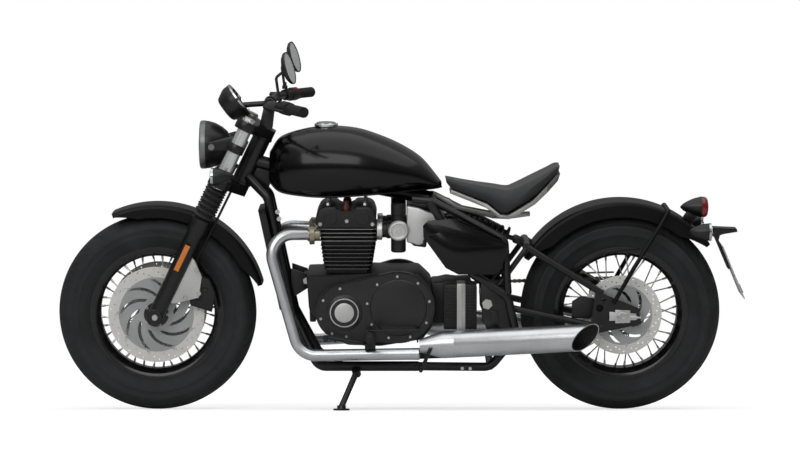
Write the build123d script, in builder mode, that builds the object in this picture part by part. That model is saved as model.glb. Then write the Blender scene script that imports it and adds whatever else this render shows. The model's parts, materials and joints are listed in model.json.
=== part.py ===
"""A bobber motorcycle: twin-cylinder, wire wheels, solo seat and two low slash-cut silencers.

It is modelled upright, in millimetres: x runs to the rear, y to the right, z up from the ground
under the tyres. The last section leans it over onto its side stand, as it parks.
"""

from build123d import *
from math import acos, cos, degrees, pi, radians, sin, tan
import os

# Wheels and stance
WHEELBASE = 1500.0
FRONT_AXLE_X = -786.0
FRONT_TYRE_R = 320.0
REAR_TYRE_R = 323.0
FRONT_TYRE_HALF = 65.0
REAR_TYRE_HALF = 75.0
CROWN_R = 76.0
BEAD_R = 203.0
RIM_FLANGE = 14.0
RIM_WELL = 19.0
RIM_SIDES = 28
FRONT_RIM_HALF = 50.0
REAR_RIM_HALF = 58.0
SPOKES = 28
SPOKE_R = 2.2
FRONT_FLANGE_Y = 38.0
FRONT_FLANGE_R = 48.0
REAR_FLANGE_Y = 46.0
REAR_FLANGE_R = 58.0
LEAN = 9.0
SEAT_GAP = 0.3
BAR_SIDES = 8
TURNED_SIDES = 16
TYRE_SIDES = 56
GUARD_STEPS = 10

# Axles, brakes and final drive
FRONT_AXLE_R = 10.0
FRONT_AXLE_BORE = 7.0
REAR_AXLE_R = 12.5
REAR_AXLE_BORE = 9.0
FRONT_BORE_DEEP = 26.0
REAR_BORE_DEEP = 11.0
DISC_T = 5.0
DISC_HOLE_R = 31.0
FRONT_DISC_R = 155.0
FRONT_DISC_Y = 68.0
REAR_DISC_R = 127.5
REAR_DISC_Y = 97.5
PAD_GAP = 2.0
CHAIN_Y = 98.0
CHAIN_PITCH = 15.875
CHAIN_HALF_HIGH = 6.5
CHAIN_HALF_WIDE = 7.5
CHAIN_WAIST = 2.0
ROLLER_HALF = 4.6
TOOTH_REACH = 4.5
LINK_PLATE_T = 3.0
REAR_TEETH = 37
FRONT_TEETH = 17
SPROCKET_T = 6.0
OUTPUT_X = 172.0
OUTPUT_Z = 356.0

# Front fork: places along the legs are measured up from the axle
RAKE = 25.8
FORK_OFFSET = 60.0
FORK_HALF = 108.0
STANCHION_R = 22.5
STANCHION_FOOT = 190.0
SLIDER_R = 26.0
SLIDER_TOP = 350.0
GAITER_R = 35.5
GAITER_TOP = 460.0
GAITER_RIBS = 5
LOWER_YOKE_AT = 464.0
UPPER_YOKE_AT = 666.0
YOKE_T = 30.0
YOKE_EYE_R = 36.0
STEM_R = 15.0
HEAD_TUBE_R = 30.0
HEAD_GAP = 2.0

# Frame, swingarm, shock and mudguards
TUBE_R = 16.0
DOWN_TUBE_Y = 70.0
RAIL_Y = 110.0
RAIL_Z = 158.0
LOOP_R = 14.0
SEAT_RAIL_R = 12.0
LOOP_Y = 148.0
PIVOT_X = 279.0
PIVOT_Z = 366.0
PIVOT_BOLT_R = 10.0
ARM_R = 11.0
ARM_Y = 121.0
APEX_R = 14.0
APEX_AT = 144.3
AXLE_PLATE_Y = 128.0
AXLE_PLATE_T = 12.0
SHOCK_R = 33.0
SHOCK_ROD_R = 8.0
SHOCK_COILS = 5
FRONT_GUARD_R = 356.0
FRONT_GUARD_HALF = 68.0
REAR_GUARD_R = 364.0
REAR_GUARD_HALF = 85.0
GUARD_T = 3.0
HOOP_R = 7.0

# Engine and exhaust
CASE_HALF = 140.0
COVER_BASE = 30.0
COVER_T = 42.0
DECK_Z = 462.0
HEAD_Z = 553.0
CAM_Z = 607.0
FIN_T = 4.0
BARREL_FINS = 7
HEAD_FINS = 4
PIPE_R = 19.0
PIPE_SIDES = 12
PORT_X = -256.3
PORT_Z = 584.0
PORT_R = 22.7
SILENCER_R = 43.0
SILENCER_Y = 207.0
SILENCER_Z = 243.0
SILENCER_X = 138.0
SILENCER_L = 540.0
SILENCER_WALL = 2.5
SILENCER_DEPTH = 200.0

# Tank, seat, controls and lamps
SEAT_HALF = 138.0
BAR_R = 12.7
GRIP_R = 17.0
GRIP_L = 110.0
HEADLAMP_R = 78.0
INDICATOR_R = 28.0
MIRROR_R = 52.0
DIAL_R = 59.0

# Side stand, deployed: its foot rests on the ground once the machine leans
STAND_X = -140.0
STAND_Y = -146.0
STAND_Z = 144.0
STAND_FOOT_Y = -258.0
STAND_FORWARD = 46.0
STAND_R = 10.0

FRONT_AXLE = Vector(FRONT_AXLE_X, 0, FRONT_TYRE_R)
REAR_AXLE = Vector(FRONT_AXLE_X + WHEELBASE, 0, REAR_TYRE_R)
UP_FORK = Vector(sin(radians(RAKE)), 0, cos(radians(RAKE)))
BACK_FORK = Vector(cos(radians(RAKE)), 0, -sin(radians(RAKE)))
STEER_BASE = FRONT_AXLE + BACK_FORK * FORK_OFFSET
FORK_TOP = UPPER_YOKE_AT + YOKE_T
HEAD_LOW = LOWER_YOKE_AT + YOKE_T + HEAD_GAP
HEAD_HIGH = UPPER_YOKE_AT - HEAD_GAP
REAR_PITCH_R = CHAIN_PITCH / (2 * sin(pi / REAR_TEETH))
FRONT_PITCH_R = CHAIN_PITCH / (2 * sin(pi / FRONT_TEETH))
APEX = REAR_AXLE + Vector(cos(radians(APEX_AT)), 0, sin(radians(APEX_AT))) * (REAR_GUARD_R + APEX_R + SEAT_GAP)
GROUND_LIFT = CROWN_R * (1 - cos(radians(LEAN)))

pieces = {}


def keep(label, part):
    """Names a finished piece for the last section."""
    part.label = label
    pieces[label] = part


def side_plane(right):
    """The side view, at a distance to the right of the middle: x to the rear, z up, out to the left."""
    return Plane.XZ.offset(-right)


def radial_plane(axle, angle=90.0):
    """A plane through an axle: local x runs right, local y out along a spoke at an angle from the rear."""
    out = Vector(cos(radians(angle)), 0, sin(radians(angle)))
    return Plane(origin=axle, x_dir=(0, 1, 0), z_dir=Vector(0, 1, 0).cross(out))


def leg_plane(base, along):
    """A plane across the fork, at a distance up it: local x runs back, local y to the right."""
    return Plane(origin=base + UP_FORK * along, x_dir=BACK_FORK, z_dir=UP_FORK)


def bent_route(points, bend):
    """The corners of a bar's route, with each bend drawn in two chords."""
    stops = [Vector(p) for p in points]
    route = [stops[0]]
    for before, corner, after in zip(stops, stops[1:], stops[2:]):
        back = (before - corner).normalized()
        on = (after - corner).normalized()
        half = radians(back.get_angle(on)) / 2
        middle = corner + (back + on).normalized() * (bend / sin(half) - bend)
        route += [corner + back * (bend / tan(half)), middle, corner + on * (bend / tan(half))]
    return route + [stops[-1]]


def round_bar(points, radius, bend=0.0, sides=BAR_SIDES):
    """Adds a round bar to the part being built, drawn with flats, along straight runs joined by bends."""
    with BuildLine() as route:
        Polyline(*bent_route(points, bend))
    with BuildSketch(Plane(origin=route.line @ 0, z_dir=route.line % 0)) as section:
        RegularPolygon(radius, sides)
    sweep(section.sketch, path=route.line, transition=Transition.RIGHT)


def plate(outline, left, right, mode=Mode.ADD):
    """Adds a plate to the part being built: a side-view outline, filled from one distance to another."""
    with BuildSketch(side_plane(right)) as shape:
        Polygon(*outline, align=None)
    extrude(shape.sketch, amount=right - left, mode=mode)


def cross_rod(x, z, radius, left, right, mode=Mode.ADD, sides=BAR_SIDES):
    """Adds a rod across the machine to the part being built, or cuts a bore; their flats line up."""
    with BuildSketch(side_plane(right)) as end:
        with Locations((x, z)):
            RegularPolygon(radius, sides, major_radius=mode == Mode.ADD)
    extrude(end.sketch, amount=right - left, mode=mode)


def axle_bores(x, z, radius, reach, deep):
    """Cuts a truly round blind bore into each end of an axle, for a stand's pin."""
    for left, right in ((-reach, deep - reach), (reach - deep, reach)):
        with BuildSketch(side_plane(right)) as end:
            with Locations((x, z)):
                Circle(radius)
        extrude(end.sketch, amount=right - left, mode=Mode.SUBTRACT)


def turned(base, way, stations, sides=TURNED_SIDES, mode=Mode.ADD):
    """Adds a turned shape to the part being built, drawn with flats: its radius at places along an axis."""
    rings = []
    for along, radius in stations:
        with BuildSketch(Plane(origin=base + way * along, z_dir=way)) as ring:
            RegularPolygon(radius, sides)
        rings.append(ring.sketch)
    loft(rings, ruled=True, mode=mode)


# Tyres: a round crown and straight shoulders, hollowed at each side to seat on the rim
ACROSS = Vector(0, 1, 0)
for label, axle, tyre_r, half, rim_half in (
    ("front_tyre", FRONT_AXLE, FRONT_TYRE_R, FRONT_TYRE_HALF, FRONT_RIM_HALF),
    ("rear_tyre", REAR_AXLE, REAR_TYRE_R, REAR_TYRE_HALF, REAR_RIM_HALF),
):
    crown = [(CROWN_R * sin(radians(a)), tyre_r - CROWN_R + CROWN_R * cos(radians(a))) for a in (LEAN, 34, 57)]
    shoulder_r = crown[-1][1] - 26
    right = crown + [(half, shoulder_r)]
    seat = [(rim_half - 9, BEAD_R + SEAT_GAP), (rim_half - 0.5, BEAD_R + RIM_FLANGE + 2), (half, shoulder_r - 3)]
    with BuildPart() as tyre:
        turned(axle, ACROSS, [(-y, r) for y, r in reversed(right)] + right, TYRE_SIDES)
        cross_rod(axle.X, axle.Z, BEAD_R + SEAT_GAP, -half, half, Mode.SUBTRACT, TYRE_SIDES)
        for way in (ACROSS, -ACROSS):
            turned(axle, way, seat, TYRE_SIDES, Mode.SUBTRACT)
    keep(label, tyre.part)

# Wire wheels: rim, hub and crossed spokes, pulled up into one piece
FRONT_HUB_HALF = FRONT_DISC_Y - DISC_T / 2
REAR_HUB_HALF = REAR_DISC_Y - DISC_T / 2
WELL_R = BEAD_R - RIM_WELL
for label, axle, rim_half, hub_half, flange_y, flange_r, axle_r in (
    ("front_wire_wheel", FRONT_AXLE, FRONT_RIM_HALF, FRONT_HUB_HALF, FRONT_FLANGE_Y, FRONT_FLANGE_R, FRONT_AXLE_R),
    ("rear_wire_wheel", REAR_AXLE, REAR_RIM_HALF, REAR_HUB_HALF, REAR_FLANGE_Y, REAR_FLANGE_R, REAR_AXLE_R),
):
    outer_r = BEAD_R + RIM_FLANGE
    with BuildPart() as wheel:
        turned(axle, ACROSS, ((-rim_half, outer_r), (7 - rim_half, BEAD_R - 0.5), (rim_half - 7, BEAD_R - 0.5),
                              (rim_half, outer_r)), 2 * RIM_SIDES)
        cross_rod(axle.X, axle.Z, WELL_R, -rim_half, rim_half, Mode.SUBTRACT, RIM_SIDES)
        cross_rod(axle.X, axle.Z, 32, -hub_half, hub_half, sides=TURNED_SIDES)
        for side in (1, -1):
            middle = side * flange_y
            cross_rod(axle.X, axle.Z, flange_r, middle - 6, middle + 6, sides=TURNED_SIDES)
            end = side * (hub_half - 4)
            cross_rod(axle.X, axle.Z, 42, end - 4, end + 4, sides=TURNED_SIDES)
        for i in range(SPOKES):
            side = 1 if i % 2 else -1
            turn = 42 if (i // 2) % 2 else -42
            at_rim = 360 / SPOKES * (i + 0.5)
            at_hub = at_rim + turn
            root_y = side * flange_y + turn / 14
            root_r = flange_r - 6
            tip_r = WELL_R + 4
            root = axle + Vector(root_r * cos(radians(at_hub)), root_y, root_r * sin(radians(at_hub)))
            tip = axle + Vector(tip_r * cos(radians(at_rim)), side * 8, tip_r * sin(radians(at_rim)))
            with BuildSketch(Plane(origin=root, z_dir=tip - root)):
                RegularPolygon(radius=SPOKE_R, side_count=4)
            extrude(amount=(tip - root).length)
        cross_rod(axle.X, axle.Z, axle_r + SEAT_GAP, -hub_half, hub_half, Mode.SUBTRACT)
    keep(label, wheel.part)

# Brake discs: a braking ring on arms from a centre that bolts to the hub's end
for label, axle, disc_r, ring, centre_r, places in (
    ("front_discs", FRONT_AXLE, FRONT_DISC_R, 36.0, 58.0, (FRONT_DISC_Y, -FRONT_DISC_Y)),
    ("rear_disc", REAR_AXLE, REAR_DISC_R, 30.0, 58.0, (-REAR_DISC_Y,)),
):
    with BuildPart() as disc:
        for y in places:
            with BuildSketch(side_plane(y + DISC_T / 2)):
                with Locations((axle.X, axle.Z)):
                    RegularPolygon(disc_r, 2 * TURNED_SIDES)
                    RegularPolygon(disc_r - ring, 2 * TURNED_SIDES, mode=Mode.SUBTRACT)
                    RegularPolygon(centre_r, TURNED_SIDES)
                    with PolarLocations((centre_r + disc_r - ring) / 2, 6):
                        Rectangle(disc_r - ring - centre_r + 14, 16)
                    RegularPolygon(DISC_HOLE_R, TURNED_SIDES, mode=Mode.SUBTRACT)
            extrude(amount=DISC_T)
    keep(label, disc.part)

# Rear sprocket: its teeth reach as far as the inside of the chain's rollers
TOOTH_TIP = REAR_PITCH_R - TOOTH_REACH
TOOTH_ROOT = REAR_PITCH_R - 11.0
with BuildPart() as rear_sprocket:
    teeth = []
    for i in range(REAR_TEETH):
        for share, r in ((0.0, TOOTH_ROOT), (0.5, TOOTH_TIP)):
            a = 2 * pi * (i + share) / REAR_TEETH
            teeth.append((r * cos(a), r * sin(a)))
    with BuildSketch(side_plane(CHAIN_Y + SPROCKET_T / 2)):
        with Locations((REAR_AXLE.X, REAR_AXLE.Z)):
            Polygon(*teeth, align=None)
            RegularPolygon(DISC_HOLE_R, TURNED_SIDES, mode=Mode.SUBTRACT)
            with PolarLocations(58, 5):
                RegularPolygon(13, 8, mode=Mode.SUBTRACT)
    extrude(amount=SPROCKET_T)
keep("rear_sprocket", rear_sprocket.part)

# Drive chain: two rows of link plates round both sprockets, with a band of rollers between them
drive = REAR_AXLE - Vector(OUTPUT_X, 0, OUTPUT_Z)
wrap = degrees(acos((REAR_PITCH_R - FRONT_PITCH_R) / drive.length))
drive_plane = Plane(origin=(OUTPUT_X, 0, OUTPUT_Z), x_dir=drive.normalized(), z_dir=(0, -1, 0))


def scalloped_loop(out):
    """Corners round the outside of the chain's run, one at each pin and one in each waist between."""
    run = drive.length * sin(radians(wrap))
    front_arc = radians(2 * wrap) * FRONT_PITCH_R
    rear_arc = radians(360 - 2 * wrap) * REAR_PITCH_R
    total = front_arc + rear_arc + 2 * run
    steps = round(total / CHAIN_PITCH / 2) * 2
    corners = []
    for i in range(steps):
        s = total * i / steps
        r = out - CHAIN_WAIST * (i % 2)
        if s < front_arc:
            a, base, along, pitch_r = radians(180 + wrap) - s / FRONT_PITCH_R, 0, 0, FRONT_PITCH_R
        elif s < front_arc + run:
            a, base, along, pitch_r = radians(180 - wrap), 0, s - front_arc, FRONT_PITCH_R
        elif s < front_arc + run + rear_arc:
            a = radians(180 - wrap) - (s - front_arc - run) / REAR_PITCH_R
            base, along, pitch_r = drive.length, 0, REAR_PITCH_R
        else:
            a, base, pitch_r = radians(180 + wrap), drive.length, REAR_PITCH_R
            along = s - front_arc - run - rear_arc
        corners.append((base + cos(a) * (pitch_r + r) + sin(a) * along, sin(a) * (pitch_r + r) - cos(a) * along))
    return corners


def smooth_loop(out):
    """Adds the chain's run to the line being built, at a distance out from its pitch line."""
    high = Vector(-cos(radians(wrap)), sin(radians(wrap)))
    low = Vector(high.X, -high.Y)
    front_r, rear_r, far = FRONT_PITCH_R + out, REAR_PITCH_R + out, Vector(drive.length, 0)
    ThreePointArc(low * front_r, (-front_r, 0), high * front_r)
    Line(high * front_r, far + high * rear_r)
    ThreePointArc(far + high * rear_r, far + Vector(rear_r, 0), far + low * rear_r)
    Line(far + low * rear_r, low * front_r)


with BuildPart() as chain:
    for inner in (CHAIN_Y - CHAIN_HALF_WIDE, CHAIN_Y + CHAIN_HALF_WIDE - LINK_PLATE_T):
        with BuildSketch(drive_plane.offset(-inner - LINK_PLATE_T)):
            Polygon(*scalloped_loop(CHAIN_HALF_HIGH), align=None)
            with BuildLine():
                smooth_loop(-CHAIN_HALF_HIGH)
            make_face(mode=Mode.SUBTRACT)
        extrude(amount=LINK_PLATE_T)
    with BuildSketch(drive_plane.offset(-CHAIN_Y - ROLLER_HALF)):
        with BuildLine():
            smooth_loop(TOOTH_REACH - SEAT_GAP)
        make_face()
        with BuildLine():
            smooth_loop(SEAT_GAP - TOOTH_REACH)
        make_face(mode=Mode.SUBTRACT)
    extrude(amount=2 * ROLLER_HALF)
keep("drive_chain", chain.part)

# Front fork: stanchions, sliders with their caliper lugs, and rubber gaiters
with BuildPart() as stanchions:
    with BuildSketch(leg_plane(FRONT_AXLE, STANCHION_FOOT)):
        with Locations((0, FORK_HALF), (0, -FORK_HALF)):
            RegularPolygon(STANCHION_R, TURNED_SIDES)
    extrude(amount=FORK_TOP + 6 - STANCHION_FOOT)
keep("fork_stanchions", stanchions.part)

BORE_R = STANCHION_R + SEAT_GAP
CALIPER_LUG = [(24, 50), (60, 40), (140, 60), (150, 128), (128, 180), (101, 210)]
with BuildPart() as sliders:
    for y in (FORK_HALF, -FORK_HALF):
        for low, high, r in ((-26, SLIDER_TOP, SLIDER_R), (SLIDER_TOP - 40, SLIDER_TOP, SLIDER_R + 7)):
            with BuildSketch(leg_plane(FRONT_AXLE, low)):
                with Locations((0, y)):
                    RegularPolygon(r, TURNED_SIDES)
            extrude(amount=high - low)
        lug_left = 98 if y > 0 else -108
        plate([(FRONT_AXLE_X + x, FRONT_TYRE_R + z) for x, z in CALIPER_LUG], lug_left, lug_left + 10)
    with BuildSketch(leg_plane(FRONT_AXLE, STANCHION_FOOT - 1)):
        with Locations((0, FORK_HALF), (0, -FORK_HALF)):
            RegularPolygon(BORE_R, TURNED_SIDES, major_radius=False)
    extrude(amount=SLIDER_TOP, mode=Mode.SUBTRACT)
    cross_rod(FRONT_AXLE_X, FRONT_TYRE_R, FRONT_AXLE_R + SEAT_GAP, -160, 160, Mode.SUBTRACT)
keep("fork_sliders", sliders.part)

with BuildPart() as gaiters:
    low = SLIDER_TOP + SEAT_GAP
    pitch = (GAITER_TOP - low) / GAITER_RIBS
    ribs = [(low, GAITER_R - 6)]
    for i in range(GAITER_RIBS):
        ribs += [(low + pitch * (i + 0.5), GAITER_R), (low + pitch * (i + 1), GAITER_R - 6)]
    for y in (FORK_HALF, -FORK_HALF):
        turned(FRONT_AXLE + Vector(0, y, 0), UP_FORK, ribs, TURNED_SIDES)
    with BuildSketch(leg_plane(FRONT_AXLE, low - 1)):
        with Locations((0, FORK_HALF), (0, -FORK_HALF)):
            RegularPolygon(BORE_R, TURNED_SIDES, major_radius=False)
    extrude(amount=GAITER_TOP - low + 2, mode=Mode.SUBTRACT)
keep("fork_gaiters", gaiters.part)

# Yokes: one above and one below the head tube, joined by the steering stem
with BuildPart() as yokes:
    for along in (LOWER_YOKE_AT, UPPER_YOKE_AT):
        with BuildSketch(leg_plane(FRONT_AXLE, along)):
            with Locations((0, FORK_HALF), (0, -FORK_HALF)):
                RegularPolygon(YOKE_EYE_R, TURNED_SIDES)
            Polygon((-20, -FORK_HALF), (22, -FORK_HALF), (FORK_OFFSET + 32, -34), (FORK_OFFSET + 32, 34),
                    (22, FORK_HALF), (-20, FORK_HALF), (-20, FORK_HALF - 24), (14, FORK_HALF - 48),
                    (14, 48 - FORK_HALF), (-20, 24 - FORK_HALF), align=None)
            with Locations((0, FORK_HALF), (0, -FORK_HALF)):
                RegularPolygon(BORE_R, TURNED_SIDES, major_radius=False, mode=Mode.SUBTRACT)
        extrude(amount=YOKE_T)
    with BuildSketch(leg_plane(STEER_BASE, LOWER_YOKE_AT + 5)):
        RegularPolygon(STEM_R, BAR_SIDES)
    extrude(amount=FORK_TOP + 8 - LOWER_YOKE_AT)
keep("fork_yokes", yokes.part)

# Front axle: a hollow spindle through both sliders, with a spacer each side of the hub
with BuildPart() as front_axle:
    reach = FORK_HALF + SLIDER_R + 4
    cross_rod(FRONT_AXLE_X, FRONT_TYRE_R, FRONT_AXLE_R, -reach, reach)
    spacer_in = FRONT_HUB_HALF + SEAT_GAP
    spacer_out = FORK_HALF - SLIDER_R - SEAT_GAP
    cross_rod(FRONT_AXLE_X, FRONT_TYRE_R, 16, spacer_in, spacer_out)
    cross_rod(FRONT_AXLE_X, FRONT_TYRE_R, 16, -spacer_out, -spacer_in)
    axle_bores(FRONT_AXLE_X, FRONT_TYRE_R, FRONT_AXLE_BORE, reach, FRONT_BORE_DEEP)
keep("front_axle", front_axle.part)

# Front calipers, behind the sliders: each straddles its disc
CALIPER_SHAPE = [(112, 34), (180, 12), (192, 70), (172, 116), (124, 142), (106, 98)]
with BuildPart() as calipers:
    for side in (1, -1):
        outer = 98 - SEAT_GAP
        left, right = (56, outer) if side > 0 else (-outer, -56)
        plate([(FRONT_AXLE_X + x, FRONT_TYRE_R + z) for x, z in CALIPER_SHAPE], left, right)
        middle = side * FRONT_DISC_Y
        half = DISC_T / 2 + PAD_GAP
        cross_rod(FRONT_AXLE_X, FRONT_TYRE_R, FRONT_DISC_R + 3, middle - half, middle + half, Mode.SUBTRACT, 40)
keep("front_calipers", calipers.part)


# Mudguards: a channel bent round the tyre, with turned-down sides
def guard_section(outer_r, half, depth):
    """A channel's section in the radial plane: crown, chamfered shoulders and side walls."""
    shoulder = 12.0
    outer = [(half, outer_r - depth), (half, outer_r - shoulder), (half - shoulder, outer_r)]
    inner_r = outer_r - GUARD_T
    inner = [(half - shoulder - 1.2, inner_r), (half - GUARD_T, outer_r - shoulder - 1.2),
             (half - GUARD_T, outer_r - depth)]
    left_outer = [(-y, r) for y, r in reversed(outer)]
    left_inner = [(-y, r) for y, r in reversed(inner)]
    return outer + left_outer + left_inner + inner


def bent_guard(axle, outer_r, half, depth, front_angle, rear_angle):
    """Adds a mudguard to the part being built, in short straight steps round its axle."""
    steps = []
    for i in range(GUARD_STEPS + 1):
        angle = rear_angle + (front_angle - rear_angle) * i / GUARD_STEPS
        with BuildSketch(radial_plane(axle, angle)) as step:
            Polygon(*guard_section(outer_r, half, depth), align=None)
        steps.append(step.sketch)
    loft(steps, ruled=True)


with BuildPart() as front_guard:
    bent_guard(FRONT_AXLE, FRONT_GUARD_R, FRONT_GUARD_HALF, 43, 113.6, 15.6)
    for side in (1, -1):
        with BuildSketch(Plane(origin=FRONT_AXLE + UP_FORK * 328 + Vector(0, side * (FRONT_GUARD_HALF - 1.5), 0),
                               z_dir=(0, side, 0))):
            RegularPolygon(8, BAR_SIDES)
        extrude(amount=FORK_HALF - SLIDER_R - 7 - SEAT_GAP - FRONT_GUARD_HALF + 1.5)
keep("front_mudguard", front_guard.part)

with BuildPart() as rear_guard:
    bent_guard(REAR_AXLE, REAR_GUARD_R, REAR_GUARD_HALF, 50, 150, 38.6)
    hoop_out = Vector(cos(radians(66.3)), 0, sin(radians(66.3)))
    hoop_top = REAR_AXLE + hoop_out * (REAR_GUARD_R + HOOP_R - 4)
    hoop_y = AXLE_PLATE_Y + AXLE_PLATE_T / 2 + HOOP_R + SEAT_GAP
    half_hoop = [(684, hoop_y, 366), (748, hoop_y, 480), (826, 112, 600), (hoop_top.X, 100, hoop_top.Z)]
    round_bar(half_hoop + [(x, -y, z) for x, y, z in reversed(half_hoop)], HOOP_R, 22)
keep("rear_mudguard", rear_guard.part)

# Where the side stand pivots and what it turns about
ground_up = Vector(0, sin(radians(LEAN)), cos(radians(LEAN)))
STAND_PIVOT = Vector(STAND_X, STAND_Y, STAND_Z)
foot_z = (-GROUND_LIFT - STAND_FOOT_Y * sin(radians(LEAN))) / cos(radians(LEAN))
STAND_FOOT = Vector(STAND_X - STAND_FORWARD, STAND_FOOT_Y, foot_z)
stand_down = (STAND_FOOT + ground_up * 12 - STAND_PIVOT).normalized()
stand_back = Vector(0.985, -0.15, 0.05).normalized()
STAND_AXIS = stand_down.cross(stand_back).normalized()
STAND_TURN = degrees(acos(stand_down.dot(stand_back)))

# Frame: head tube, backbone, twin down tubes into the cradle, rear loops and the seat rails
HEAD_FOOT = STEER_BASE + UP_FORK * HEAD_LOW
with BuildPart() as frame:
    for side in (1, -1):
        round_bar([(-490, side * 20, 762), (-425, side * 54, 700), (-345, side * DOWN_TUBE_Y, 322),
                   (-262, side * RAIL_Y, RAIL_Z), (60, side * RAIL_Y, RAIL_Z)], TUBE_R, 40)
        round_bar([(40, side * RAIL_Y, RAIL_Z), (290, side * LOOP_Y, RAIL_Z + 4), (372, side * LOOP_Y, 262),
                   (345, side * LOOP_Y, 390), (230, side * 138, 462), (95, side * 100, 690)], LOOP_R, 46)
        round_bar([(40, side * 88, 697), (110, side * 98, 690), (335, side * 134, 572), (346, side * LOOP_Y, 400)],
                  SEAT_RAIL_R, 30)
        plate([(258, 430), (262, 320), (283, 270), (330, 195), (372, 262), (346, 388), (300, 424)],
              side * LOOP_Y - 4, side * LOOP_Y + 4)
        plate([(-350, 372), (-300, 404), (-300, 452), (-352, 470)], side * 66 - 4, side * 66 + 4)
        cross_rod(150, 597, 8, min(side * 110, side * 155.7), max(side * 110, side * 155.7))
    cross_rod(PIVOT_X, PIVOT_Z, PIVOT_BOLT_R, -LOOP_Y - 8, LOOP_Y + 8)
    cross_rod(104, 690, LOOP_R, -98, 98)
    cross_rod(133, 628, 12, -108, 108)
    cross_rod(-200, RAIL_Z, LOOP_R, -RAIL_Y, RAIL_Y)
    cross_rod(290, RAIL_Z + 4, LOOP_R - 2, -LOOP_Y + 10, LOOP_Y - 10)
    round_bar([(-470, 0, 812), (-280, 0, 762), (104, 0, 690)], 22, 400)
    cross_rod(-300, 790.5, 9, -30 + SEAT_GAP, 30 - SEAT_GAP)
    cross_rod(-20, 733.2, 9, -30 + SEAT_GAP, 30 - SEAT_GAP)
    plate([(-486, 800), (-400, 795), (-425, 720), (-505, 752)], -10, 10)
    round_bar([(66, -RAIL_Y, 160), (66, -244, 162), (97, -247, 238)], 6, 22)
    back_of_pin = STAND_PIVOT - STAND_AXIS * 12.5
    towards = Vector(STAND_X, -RAIL_Y, RAIL_Z) - back_of_pin
    towards = (towards - STAND_AXIS * towards.dot(STAND_AXIS)).normalized()
    with BuildSketch(Plane(origin=back_of_pin, x_dir=towards, z_dir=-STAND_AXIS)):
        RegularPolygon(13, BAR_SIDES)
        Rectangle(30, 24, align=(Align.MIN, Align.CENTER))
    extrude(amount=8)
    with BuildSketch(Plane(origin=back_of_pin, z_dir=STAND_AXIS)):
        RegularPolygon(6, BAR_SIDES)
    extrude(amount=28)
    with BuildSketch(leg_plane(STEER_BASE, HEAD_LOW)):
        RegularPolygon(HEAD_TUBE_R, TURNED_SIDES)
    extrude(amount=HEAD_HIGH - HEAD_LOW)
    with BuildSketch(leg_plane(STEER_BASE, HEAD_LOW)):
        RegularPolygon(STEM_R + SEAT_GAP, BAR_SIDES, major_radius=False)
    extrude(amount=HEAD_HIGH - HEAD_LOW, mode=Mode.SUBTRACT)
keep("frame", frame.part)

# Swingarm: a triangle each side, from the pivot to the axle plates and up to the cross tube, and a
# guard over the chain on a tab under its right-hand tube
AXLE_PLATE = [(628, 412), (660, 392), (765, 350), (774, 300), (756, 294), (640, 270), (618, 276), (612, 300)]
with BuildPart() as swingarm:
    for side in (1, -1):
        round_bar([(PIVOT_X, side * ARM_Y, PIVOT_Z), (650, side * (AXLE_PLATE_Y - 2), 285)], ARM_R)
        round_bar([(APEX.X, side * 112, APEX.Z), (650, side * (AXLE_PLATE_Y - 2), 396)], ARM_R)
        round_bar([(APEX.X - 2, side * 112, APEX.Z - 3), (PIVOT_X + 8, side * (ARM_Y - 5), PIVOT_Z + 14)], ARM_R - 2)
        plate(AXLE_PLATE, side * AXLE_PLATE_Y - AXLE_PLATE_T / 2, side * AXLE_PLATE_Y + AXLE_PLATE_T / 2)
        plate([(APEX.X, APEX.Z + 12), (APEX.X - 34, APEX.Z + 26), (APEX.X - 44, APEX.Z + 8),
               (APEX.X - 10, APEX.Z - 11)], side * 25 - 4, side * 25 + 4)
    cross_rod(APEX.X, APEX.Z, APEX_R, -118, 118)
    cross_rod(APEX.X - 32, APEX.Z + 13, 6, -26, 26)
    cross_rod(PIVOT_X, PIVOT_Z, 20, -ARM_Y - ARM_R - 2, ARM_Y + ARM_R + 2)
    plate([(420, 426), (700, 434), (700, 437), (420, 429)], 84, 108)
    plate([(540, 429), (560, 429.6), (560, 446), (540, 458)], 104, 121)
    cross_rod(PIVOT_X, PIVOT_Z, PIVOT_BOLT_R + SEAT_GAP, -150, 150, Mode.SUBTRACT)
    cross_rod(REAR_AXLE.X, REAR_AXLE.Z, REAR_AXLE_R + SEAT_GAP, -160, 160, Mode.SUBTRACT)
keep("swingarm", swingarm.part)

# Rear shock: eyes, body and spring
SHOCK_REAR = Vector(APEX.X - 32, 0, APEX.Z + 13)
SHOCK_FRONT = Vector(160, 0, 622)
shock_way = (SHOCK_FRONT - SHOCK_REAR).normalized()
shock_l = (SHOCK_FRONT - SHOCK_REAR).length
with BuildPart() as shock:
    first, last = 30, shock_l - 52
    pitch = (last - first) / SHOCK_COILS
    coils = [(6, SHOCK_ROD_R), (first - 4, SHOCK_ROD_R), (first, SHOCK_R)]
    for i in range(SHOCK_COILS):
        coils += [(first + pitch * (i + 0.5), SHOCK_R - 7), (first + pitch * (i + 1), SHOCK_R)]
    coils += [(shock_l - 28, SHOCK_R), (shock_l - 22, 14), (shock_l - 6, 14)]
    turned(SHOCK_REAR, shock_way, coils, TURNED_SIDES)
    for eye in (SHOCK_REAR, SHOCK_FRONT):
        cross_rod(eye.X, eye.Z, 13, -18, 18)
    cross_rod(SHOCK_REAR.X, SHOCK_REAR.Z, 6 + SEAT_GAP, -30, 30, Mode.SUBTRACT)
keep("rear_shock", shock.part)

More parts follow.
